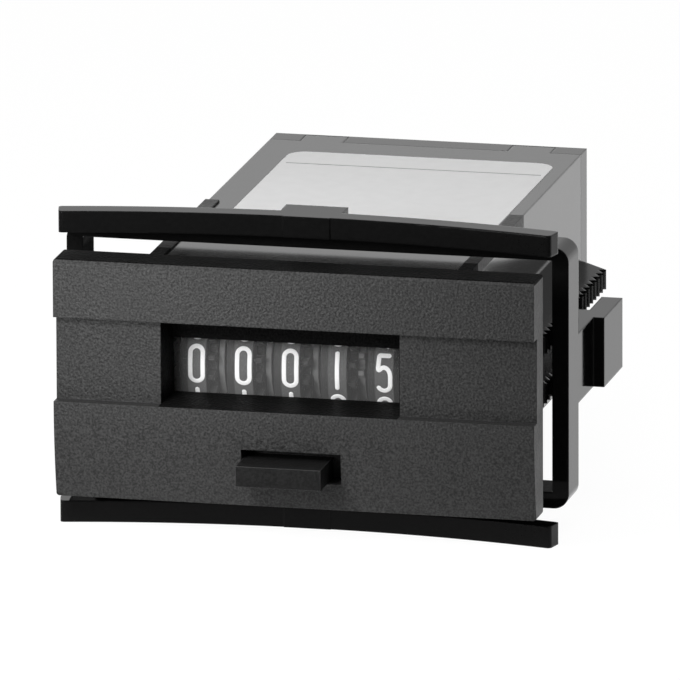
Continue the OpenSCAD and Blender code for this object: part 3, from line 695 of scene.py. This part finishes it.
class Surface:
    """Meshes from grids of points worked out as whole arrays."""

    @staticmethod
    def quads(rows: int, columns: int) -> Array:
        """Faces of a grid whose columns close on themselves.

        Args:
            rows: Number of rows.
            columns: Number of points in a row.

        Returns:
            Four point numbers per face.
        """
        row, column = np.meshgrid(np.arange(rows - 1), np.arange(columns), indexing="ij")
        ahead = (column + 1) % columns
        corners = (row * columns + column, row * columns + ahead, (row + 1) * columns + ahead,
                   (row + 1) * columns + column)
        return np.stack(corners, -1).reshape(-1, 4)

    @staticmethod
    def piece(name: str, points: Array, faces: Array, material: bpy.types.Material, body: str) -> None:
        """Makes one piece, closes its poles and rides it on a body.

        Args:
            name: Name of the piece.
            points: Points in millimetres.
            faces: Four point numbers per face.
            material: The piece's finish.
            body: Body that carries it.
        """
        mesh = bpy.data.meshes.new(name)
        mesh.from_pydata((points * MM).tolist(), [], faces.tolist())
        merge(mesh, outward=True)
        mesh.materials.append(material)
        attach(add_object(name, mesh), body)
        LOG.info("%s: %d points on %s", name, len(mesh.vertices), body)


def dress(node: str, material: bpy.types.Material) -> None:
    """Gives a CAD node its finish.

    Args:
        node: Name of the node.
        material: The finish.
    """
    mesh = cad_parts[node].data
    mesh.materials.clear()
    mesh.materials.append(material)
    LOG.info("%s: finish %s", node, material.name)


def nudge(obj: bpy.types.Object, box: Box, shift: Point) -> None:
    """Moves those points of a piece that lie inside a box.

    Args:
        obj: The piece.
        box: Lowest and highest corner of the box in millimetres.
        shift: How far the points move along X, Y and Z in millimetres.
    """
    places = np.empty(len(obj.data.vertices) * 3)
    obj.data.vertices.foreach_get("co", places)
    places = places.reshape(-1, 3)
    within = np.all((places > np.array(box[0]) * MM) & (places < np.array(box[1]) * MM), axis=1)
    places[within] += np.array(shift) * MM
    obj.data.vertices.foreach_set("co", places.ravel())
    obj.data.update()
    LOG.info("%s: %d points moved", obj.name, within.sum())


def stand_in(node: str, name: str, body: str) -> bpy.types.Object:
    """Puts a merged copy of a CAD node in its place, with the node's finish.

    Args:
        node: Name of the node.
        name: Name of the copy.
        body: Body that carries it.

    Returns:
        The copy.
    """
    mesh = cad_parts[node].data.copy()
    merge(mesh)
    mesh.shade_flat()
    copy = add_object(name, mesh)
    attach(copy, body)
    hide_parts(node)
    return copy


LINE_POINTS = 40
ARC_POINTS = 60


def line(start: Flat, end: Flat) -> Array:
    """Points of a straight stroke, close together.

    Args:
        start: First point.
        end: Last point.

    Returns:
        Points from start to end.
    """
    share = np.linspace(0, 1, LINE_POINTS)[:, None]
    return np.array(start) * (1 - share) + np.array(end) * share


def arc(centre: Flat, radii: Flat, first_deg: float, last_deg: float) -> Array:
    """Points of an elliptic arc.

    Args:
        centre: Centre of the ellipse.
        radii: Radii across and up.
        first_deg: First angle, from the right.
        last_deg: Last angle.

    Returns:
        Points along the arc.
    """
    turn = np.radians(np.linspace(first_deg, last_deg, ARC_POINTS))
    return np.stack([centre[0] + radii[0] * np.cos(turn), centre[1] + radii[1] * np.sin(turn)], -1)


@dataclass(frozen=True)
class Stroke:
    """One stroke of a figure.

    Attributes:
        path: Points of its middle line.
        closed: Whether the line closes on itself.
    """

    path: Array
    closed: bool = False

    FEWEST_POINTS = 8

    def even(self, step: float) -> Array:
        """The middle line with points at even distances.

        Args:
            step: Distance between points.

        Returns:
            Points along the line; a closed line doesn't repeat its first point.
        """
        path = np.vstack([self.path, self.path[:1]]) if self.closed else self.path
        reach = np.concatenate([[0], np.cumsum(np.linalg.norm(np.diff(path, axis=0), axis=1))])
        count = max(self.FEWEST_POINTS, int(reach[-1] / step))
        marks = np.linspace(0, reach[-1], count, endpoint=not self.closed)
        return np.stack([np.interp(marks, reach, path[:, k]) for k in (0, 1)], -1)


@dataclass(frozen=True)
class FigureShapes:
    """Narrow round-cornered figures from 0 to 9, as strokes about the figure's middle.

    Attributes:
        half_w: Half the width between the strokes' middle lines.
        half_h: Half the height between the strokes' middle lines.
        tip: How far a free end runs past those lines.
        upper: Height of the middle of the upper bowl of 3 and 8.
        lower: Depth of the middle of their lower bowl.
        bar: Depth of the bar of 4.
    """

    half_w: float = 0.62
    half_h: float = 1.76
    tip: float = 0.2
    upper: float = 0.95
    lower: float = 0.83
    bar: float = 0.75

    def strokes(self, figure: int) -> list[Stroke]:
        """The strokes of one figure.

        Args:
            figure: A number from 0 to 9.

        Returns:
            The strokes, in millimetres about the figure's middle.
        """
        w = self.half_w
        h = self.half_h
        end = h + self.tip
        bend = h - w
        base = (w, h - self.lower)
        makers = {
            0: lambda: [Stroke(np.vstack([arc((0, bend), (w, w), 0, 180),
                                          arc((0, -bend), (w, w), 180, 360)]), True)],
            1: lambda: [Stroke(line((0, end), (0, -end)))],
            2: lambda: [Stroke(np.vstack([arc((0, bend), (w, w), 170, -25),
                                          line((0.5, 0.55), (-w, -h)),
                                          line((-w, -h), (w + self.tip, -h))]))],
            3: lambda: [Stroke(np.vstack([arc((0, self.upper), (w, h - self.upper), 165, -90),
                                          arc((0, -self.lower), base, 90, -165)]))],
            4: lambda: [Stroke(np.vstack([line((0.1, end), (-w, -self.bar)),
                                          line((-w, -self.bar), (w + self.tip, -self.bar))])),
                        Stroke(line((0.3, 0.35), (0.3, -end)))],
            5: lambda: [Stroke(np.vstack([line((w + 0.1, h), (-0.5, h)),
                                          line((-0.5, h), (-0.6, 0.35)),
                                          arc((0, -0.3), (w, 0.9), 140, 0),
                                          arc((0, -bend), (w, w), 0, -170)]))],
            6: lambda: [Stroke(np.vstack([arc((0, bend), (w, w), 10, 180),
                                          line((-w, bend), (-w, -bend)),
                                          arc((0, -bend), (w, w), 180, 360),
                                          arc((0, -0.4), (w, w), 0, 165)]))],
            7: lambda: [Stroke(np.vstack([line((-w - 0.1, h), (w, h)), line((w, h), (-0.2, -end))]))],
            8: lambda: [Stroke(arc((0, self.upper), (w * 0.92, h - self.upper), -90, 262), True),
                        Stroke(arc((0, -self.lower), base, 90, 442), True)],
            9: lambda: [Stroke(-stroke.path) for stroke in self.strokes(6)],
        }
        return makers[figure]()


@dataclass
class FigureTrain:
    """The five figure wheels with their figures, pinions, shafts and plates.

    Attributes:
        names: The wheels' names from the left.
        shown: Figure that each wheel shows at rest.
        middle: Middle of the third wheel's figures along X.
        pitch: Distance from wheel to wheel.
        axis_y: Place of the wheels' axis behind the panel.
        radius: Radius of the figure rims.
        stroke: Half the width of a figure's stroke.
        rise: How far the ink stands on the rim.
        sink: How far it reaches into the rim.
        step: Distance between points along a stroke.
        around: Points round a stroke's section.
        square: Exponent that fills the section's sides out; 1 would leave an ellipse.
        figures: Number of figures on a wheel.
        lift: How far a shown figure stands above the wheels' axis.
        band: Half the width of the lighter band behind the figures.
        disc: Width of a carry disc.
    """

    names: tuple[str, ...] = ("ten_thousands", "thousands", "hundreds", "tens", "units")
    shown: tuple[int, ...] = (0, 0, 0, 1, 5)
    middle: float = -2.08
    pitch: float = 4.7
    axis_y: float = 10.6
    radius: float = 7.0
    stroke: float = 0.22
    rise: float = 0.035
    sink: float = 0.02
    step: float = 0.09
    around: int = 10
    square: float = 0.6
    figures: int = 10
    lift: float = 0.28
    band: float = 0.93
    disc: float = 0.58

    def place(self, wheel: int) -> float:
        """Middle of a wheel's figures along X; the wheels are numbered from the left."""
        return self.middle + self.pitch * (wheel - len(self.names) // 2)

    def ribbon(self, stroke: Stroke, figure: int, wheel: int) -> tuple[Array, Array]:
        """Carries a flat oval section along a stroke that lies on the wheel's rim.

        The section's half width shrinks to nothing over a half circle at an open stroke's ends.
        A point x across and v up goes to the angle (figure - shown) * 360 deg / figures - (v + lift) / R
        below the front, at the radius R plus the section's own height.

        Args:
            stroke: The stroke's middle line.
            figure: The figure it belongs to.
            wheel: Number of the wheel from the left.

        Returns:
            Points as rows along the stroke, and faces.
        """
        path = stroke.even(self.step)
        if not stroke.closed:
            kernel = np.array([0.25, 0.5, 0.25])
            padded = np.vstack([2 * path[:1] - path[1:2], path, 2 * path[-1:] - path[-2:-1]])
            path = np.stack([np.convolve(padded[:, k], kernel, "valid") for k in (0, 1)], -1)
        ahead = np.roll(path, -1, 0) - np.roll(path, 1, 0)
        if not stroke.closed:
            ahead = np.gradient(path, axis=0)
        side = np.stack([-ahead[:, 1], ahead[:, 0]], -1) / np.linalg.norm(ahead, axis=1, keepdims=True)
        width = np.full(len(path), self.stroke)
        if not stroke.closed:
            reach = np.concatenate([[0], np.cumsum(np.linalg.norm(np.diff(path, axis=0), axis=1))])
            end = np.minimum(reach, reach[-1] - reach)
            lack = np.clip(1 - end / self.stroke, 0, 1)
            width = self.stroke * np.sqrt(np.clip(1 - lack**2, 0, 1))
        turn = np.linspace(0, 2 * np.pi, self.around, endpoint=False)
        across = np.sign(np.cos(turn)) * np.abs(np.cos(turn)) ** self.square
        up = np.where(np.sin(turn) > 0, self.rise, self.sink) * np.sin(turn)
        flat = path[:, None, :] + side[:, None, :] * (width[:, None] * across)[..., None]
        height = self.radius + up[None, :] * (width[:, None] / self.stroke)
        rim = (flat[..., 1] + self.lift) / self.radius
        below = np.radians(360 / self.figures * (figure - self.shown[wheel])) - rim
        points = np.stack([self.place(wheel) + flat[..., 0], self.axis_y - height * np.cos(below),
                           -height * np.sin(below)], -1)
        if stroke.closed:
            points = np.concatenate([points, points[:1]])
        return points, Surface.quads(len(points), self.around)

    def build(self) -> None:
        """Lays the figures on every wheel."""
        ink = FIGURE_INK.material()
        shapes = FigureShapes()
        for wheel, name in enumerate(self.names):
            points = []
            faces = []
            count = 0
            for figure in range(self.figures):
                for stroke in shapes.strokes(figure):
                    grid, quads = self.ribbon(stroke, figure, wheel)
                    points.append(grid.reshape(-1, 3))
                    faces.append(quads + count)
                    count += len(points[-1])
            Surface.piece(f"figures_{name}", np.vstack(points), np.vstack(faces), ink, f"wheel_{name}")

    def finish(self) -> None:
        """Dresses the wheels, pinions, shafts and plates."""
        wheel = WheelPlastic("wheel_satin", dark=grey(0.024), light=grey(0.078), disc=grey(0.15),
                             pitch_mm=self.pitch, centre_mm=self.middle, band_mm=self.band,
                             disc_mm=self.disc).material()
        pinion = PINION_PLASTIC.material()
        steel = PLATED_STEEL.material()
        for name in self.names:
            dress(f"{name}_wheel", wheel)
        for number in range(1, len(self.names)):
            dress(f"transfer_pinion_{number}", pinion)
        for node in ("wheel_shaft", "pinion_shaft", "left_side_plate", "right_side_plate", "reset_comb",
                     "armature_pin"):
            dress(node, steel)


@dataclass
class TopLabel:
    """The bare film on the housing's top, with one plain rule line.

    Attributes:
        low: Left and front edge.
        high: Right and rear edge.
        top_z: Height of the housing's top.
        film: Thickness of the film.
        corner: Radius of the film's corners.
        sink: How far film and ink reach into what carries them.
        rule_y: Place of the rule line along Y.
        rule_ends: Its left and right end.
        rule_w: Its width.
        rule_rise: How far its ink stands on the film.
        corner_points: Points round one corner.
    """

    low: Flat = (-12.64, 13.0)
    high: Flat = (14.42, 49.4)
    top_z: float = 10.9
    film: float = 0.06
    corner: float = 1.9
    sink: float = 0.01
    rule_y: float = 44.3
    rule_ends: Flat = (-12.0, 14.0)
    rule_w: float = 0.22
    rule_rise: float = 0.012
    corner_points: int = 14

    def plate(self, low: Flat, high: Flat, corner: float, base: float, top: float) -> tuple[Array, Array]:
        """A thin plate with round corners.

        Rows run from the middle of the underside over its outline, then the outline of the upper
        side, drawn in by half the thickness, to the middle of the upper side.

        Args:
            low: Left and front edge.
            high: Right and rear edge.
            corner: Corner radius.
            base: Height of the underside.
            top: Height of the upper side.

        Returns:
            Points and faces.
        """
        turn = np.radians(np.linspace(0, 90, self.corner_points))
        quarter = np.arange(4)[:, None] * np.pi / 2 + turn[None, :]
        centre_x = np.array([high[0] - corner, low[0] + corner, low[0] + corner, high[0] - corner])[:, None]
        centre_y = np.array([high[1] - corner, high[1] - corner, low[1] + corner, low[1] + corner])[:, None]
        edge_x = (centre_x + corner * np.cos(quarter)).ravel()
        edge_y = (centre_y + corner * np.sin(quarter)).ravel()
        middle = np.array([(low[0] + high[0]) / 2, (low[1] + high[1]) / 2])
        inset = (top - base) / 2
        shrink_x = 1 - inset / ((high[0] - low[0]) / 2)
        shrink_y = 1 - inset / ((high[1] - low[1]) / 2)
        rows = [(0.0, 0.0, base), (1.0, 1.0, base), (1.0, 1.0, (base + top) / 2), (shrink_x, shrink_y, top),
                (0.0, 0.0, top)]
        points = np.stack([np.stack([middle[0] + sx * (edge_x - middle[0]),
                                     middle[1] + sy * (edge_y - middle[1]),
                                     np.full(len(edge_x), z)], -1) for sx, sy, z in rows])
        return points.reshape(-1, 3), Surface.quads(len(rows), len(edge_x))

    def build(self) -> None:
        """Makes the film and its rule line."""
        top = self.top_z + self.film
        points, faces = self.plate(self.low, self.high, self.corner, self.top_z - self.sink, top)
        Surface.piece("top_label", points, faces, LABEL_FILM.material(), "case")
        left, right = self.rule_ends
        half = self.rule_w / 2
        points, faces = self.plate((left, self.rule_y - half), (right, self.rule_y + half), self.rule_w / 3,
                                   top - self.sink, top + self.rule_rise)
        Surface.piece("label_rules", points, faces, RULE_INK.material(), "case")


@dataclass
class Mouldings:
    """The outer plastic parts: front frame, key, housing, cover, clamp and pane.

    Attributes:
        slot_wall: Lowest and highest corner of a box round the right wall of the key's slot.
        slot_shift: How far that wall moves to leave room beside the key.
        bar_wall: Lowest and highest corner of a box round the underside of the clamp's upper bar.
        bar_shift: How far that side moves to leave room above the housing.
    """

    slot_wall: Box = ((3.46, -4.5, -9.4), (3.48, 0.0, -6.1))
    slot_shift: Point = (1.2, 0.0, 0.0)
    bar_wall: Box = ((-24.0, 6.0, 11.40), (24.0, 11.5, 11.50))
    bar_shift: Point = (0.0, 0.0, 0.34)

    def finish(self) -> None:
        """Dresses the outer parts and puts the two changed ones in place."""
        dress("front_bezel", FRONT_PLASTIC.material())
        nudge(stand_in("front_bezel", "front_moulding", "case"), self.slot_wall, self.slot_shift)
        dress("reset_button", KEY_PLASTIC.material())
        dress("housing", HOUSING_PLASTIC.material())
        dress("rear_cover", COVER_PLASTIC.material())
        dress("clamp_frame", CLAMP_PLASTIC.material())
        nudge(stand_in("clamp_frame", "clamp_moulding", "clamp"), self.bar_wall, self.bar_shift)
        dress("window_lens", PANE.material())


class Electrics:
    """The terminals, the electromagnet and the springs."""

    def finish(self) -> None:
        """Dresses the electric parts."""
        brass = BLADE_BRASS.material()
        iron = SOFT_IRON.material()
        wire = SPRING_WIRE.material()
        for node in ("terminal_left", "terminal_right"):
            dress(node, brass)
        for node in ("coil_core", "magnet_yoke", "armature"):
            dress(node, iron)
        dress("armature_spring", wire)
        dress("button_spring", wire)
        self.press_spring("button_spring")
        dress("coil_bobbin", BOBBIN_PLASTIC.material())
        dress("coil_winding", COIL_WIRE.material())

    def press_spring(self, node: str) -> None:
        """Puts a merged copy of a coil spring along Y in place of its CAD node, with a mesh of its own.

        Args:
            node: The spring's CAD node.
        """
        coil = stand_in(node, f"{node}_coil", "case")
        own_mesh(coil)


@dataclass(frozen=True)
class PhotoCamera:
    """The camera of the photograph, solved from points of the front.

    Attributes:
        azimuth: Degrees to the right of the front.
        elevation: Degrees above the horizon.
        roll: Degrees that the picture is turned.
        distance: Distance from the front's middle.
        scale: Pixels per millimetre at the front's middle.
        spot: Pixel of the front's middle.
        front: The front's middle.
        sensor: Width of the sensor.
        clip_m: Nearest and farthest distance that is drawn, in metres.
    """

    azimuth: float = 13.0938
    elevation: float = 13.9381
    roll: float = -0.1975
    distance: float = 2000.0
    scale: float = 10.2841
    spot: Flat = (293.0593, 391.1254)
    front: Point = (0.0, -4.0, 0.0)
    sensor: float = 36.0
    clip_m: Flat = (0.05, 50.0)

    def build(self) -> None:
        """Makes the camera and aims its middle beside the front, as the photograph is framed."""
        turn = math.radians(self.azimuth)
        tilt = math.radians(self.elevation)
        roll = math.radians(self.roll)
        level = Vector((math.cos(turn), math.sin(turn), 0))
        back = Vector((math.sin(turn) * math.cos(tilt), -math.cos(turn) * math.cos(tilt), math.sin(tilt)))
        upward = back.cross(level)
        right = math.cos(roll) * level + math.sin(roll) * upward
        up = math.cos(roll) * upward - math.sin(roll) * level
        middle = PHOTO_SIDE / 2
        aim = Vector(self.front) + (middle - self.spot[0]) / self.scale * right
        aim += (self.spot[1] - middle) / self.scale * up
        data = bpy.data.cameras.new("photo_camera")
        data.sensor_width = self.sensor
        data.lens = self.sensor * self.scale * self.distance / PHOTO_SIDE
        data.clip_start, data.clip_end = self.clip_m
        obj = add_object("photo_camera", data)
        axes = Matrix((right, up, back)).transposed().to_4x4()
        obj.matrix_world = Matrix.Translation((aim + back * self.distance) * MM) @ axes
        bpy.context.scene.camera = obj


@dataclass(frozen=True)
class Lamp:
    """A soft square lamp that faces the counter and isn't seen itself.

    Attributes:
        name: Name of the lamp.
        place: Its place, in metres.
        side: Length of its sides, in metres.
        watts: Its power.
        mirrored: Whether glossy surfaces mirror it.
    """

    name: str
    place: Point
    side: float
    watts: float
    mirrored: bool

    def build(self) -> None:
        """Hangs the lamp."""
        data = bpy.data.lights.new(self.name, "AREA")
        data.size = self.side
        data.energy = self.watts
        obj = add_object(self.name, data)
        obj.location = self.place
        obj.rotation_euler = (-Vector(self.place)).to_track_quat("-Z", "Y").to_euler()
        obj.visible_camera = False
        obj.visible_glossy = self.mirrored


@dataclass
class Studio:
    """A pale floor, a white surround that is dimmer towards the front, and soft lamps.

    Attributes:
        floor_z: Height of the floor.
        floor_half: Half the side of the floor, in metres.
        floor_tone: Level of the floor's own colour.
        floor_white: Level of the white that the camera and mirrors see on it.
        floor_share: Share of that white; the rest is the floor's own colour, which holds the shadow.
        floor_fall: From where to where along Y the reflected floor brightens, in metres.
        surround: Strength of the surround's light on the object.
        surround_fall: From where to where the reflected surround brightens, by the Y of its direction.
        front_dim: Strength of the reflected floor and surround straight in front.
        lamps: The soft lamps.
    """

    floor_z: float = -15.68
    floor_half: float = 4.0
    floor_tone: float = 0.85
    floor_white: float = 1.05
    floor_share: float = 0.92
    floor_fall: Flat = (-0.03, 0.02)
    surround: float = 0.14
    surround_fall: Flat = (-1.0, -0.2)
    front_dim: float = 0.05
    lamps: tuple[Lamp, ...] = (
        Lamp("front_lamp", (-0.023, -0.056, 0.036), side=0.022, watts=0.064, mirrored=False),
        Lamp("glint_lamp", (-0.030, -0.060, 0.012), side=0.022, watts=0.013, mirrored=True),
        Lamp("top_lamp", (0.03, -0.10, 0.55), side=0.4, watts=1.62, mirrored=False))

    def floor(self) -> None:
        """Makes the floor: white to the camera and to mirrors, with the part's shadow left on it."""
        edge = np.array([-self.floor_half, self.floor_half])
        x, y = np.meshgrid(edge, edge)
        points = np.stack([x.ravel(), y.ravel(), np.full(4, self.floor_z * MM)], -1)
        mesh = bpy.data.meshes.new("floor")
        mesh.from_pydata(points.tolist(), [], [(0, 1, 3, 2)])
        material = bpy.data.materials.new("floor_pale")
        material.use_nodes = True
        tree = material.node_tree
        tree.nodes.clear()
        matt = tree.nodes.new("ShaderNodeBsdfDiffuse")
        matt.inputs["Color"].default_value = (*grey(self.floor_tone), 1)
        white = tree.nodes.new("ShaderNodeEmission")
        white.inputs["Color"].default_value = (*grey(self.floor_white), 1)
        tree.links.new(self.front_fall(tree, "Object", self.floor_fall), white.inputs["Strength"])
        share = tree.nodes.new("ShaderNodeMath")
        share.operation = "MULTIPLY"
        share.inputs[1].default_value = self.floor_share
        mix = tree.nodes.new("ShaderNodeMixShader")
        output = tree.nodes.new("ShaderNodeOutputMaterial")
        tree.links.new(self.direct_rays(tree), share.inputs[0])
        tree.links.new(share.outputs[0], mix.inputs[0])
        tree.links.new(matt.outputs[0], mix.inputs[1])
        tree.links.new(white.outputs[0], mix.inputs[2])
        tree.links.new(mix.outputs[0], output.inputs["Surface"])
        mesh.materials.append(material)
        add_object("floor", mesh)

    @staticmethod
    def direct_rays(tree: bpy.types.NodeTree) -> Socket:
        """A value of 1 for rays from the camera, off a mirror or through glass.

        Args:
            tree: The node tree to add to.

        Returns:
            The value.
        """
        path = tree.nodes.new("ShaderNodeLightPath")
        first = tree.nodes.new("ShaderNodeMath")
        first.operation = "MAXIMUM"
        second = tree.nodes.new("ShaderNodeMath")
        second.operation = "MAXIMUM"
        tree.links.new(path.outputs["Is Camera Ray"], first.inputs[0])
        tree.links.new(path.outputs["Is Glossy Ray"], first.inputs[1])
        tree.links.new(first.outputs[0], second.inputs[0])
        tree.links.new(path.outputs["Is Transmission Ray"], second.inputs[1])
        return second.outputs[0]

    def front_fall(self, tree: bpy.types.NodeTree, space: str, fall: Flat) -> Socket:
        """A strength of 1 for camera rays; for others it falls along Y towards the front.

        Args:
            tree: The node tree to add to.
            space: Name of the coordinates.
            fall: Y at which the strength has fallen to front_dim, and Y from which it is 1.

        Returns:
            The strength.
        """
        place = tree.nodes.new("ShaderNodeTexCoord")
        split = tree.nodes.new("ShaderNodeSeparateXYZ")
        tree.links.new(place.outputs[space], split.inputs[0])
        slope = tree.nodes.new("ShaderNodeMapRange")
        slope.interpolation_type = "SMOOTHSTEP"
        ends = (*fall, self.front_dim, 1.0)
        for key, value in zip(("From Min", "From Max", "To Min", "To Max"), ends):
            slope.inputs[key].default_value = value
        tree.links.new(split.outputs["Y"], slope.inputs["Value"])
        path = tree.nodes.new("ShaderNodeLightPath")
        clear = tree.nodes.new("ShaderNodeMath")
        clear.operation = "MAXIMUM"
        tree.links.new(path.outputs["Is Camera Ray"], clear.inputs[0])
        tree.links.new(slope.outputs["Result"], clear.inputs[1])
        return clear.outputs[0]

    def world(self) -> None:
        """Makes the surround: white to the camera, and to mirrors dimmer towards the front."""
        world = bpy.data.worlds.new("surround")
        bpy.context.scene.world = world
        world.use_nodes = True
        tree = world.node_tree
        tree.nodes.clear()
        mirrored = tree.nodes.new("ShaderNodeBackground")
        tree.links.new(self.front_fall(tree, "Generated", self.surround_fall), mirrored.inputs["Strength"])
        soft = tree.nodes.new("ShaderNodeBackground")
        soft.inputs["Strength"].default_value = self.surround
        mix = tree.nodes.new("ShaderNodeMixShader")
        output = tree.nodes.new("ShaderNodeOutputWorld")
        tree.links.new(self.direct_rays(tree), mix.inputs[0])
        tree.links.new(soft.outputs[0], mix.inputs[1])
        tree.links.new(mirrored.outputs[0], mix.inputs[2])
        tree.links.new(mix.outputs[0], output.inputs["Surface"])

    def build(self) -> None:
        """Sets up the view, the floor, the surround and the lamps."""
        bpy.context.scene.view_settings.view_transform = "Standard"
        self.floor()
        self.world()
        for lamp in self.lamps:
            lamp.build()


def main() -> None:
    """Builds the counter's looks and the studio."""
    logging.basicConfig(level=logging.INFO)
    PhotoCamera().build()
    Studio().build()
    Mouldings().finish()
    train = FigureTrain()
    train.finish()
    train.build()
    Electrics().finish()
    TopLabel().build()


if __name__ == "__main__":
    main()
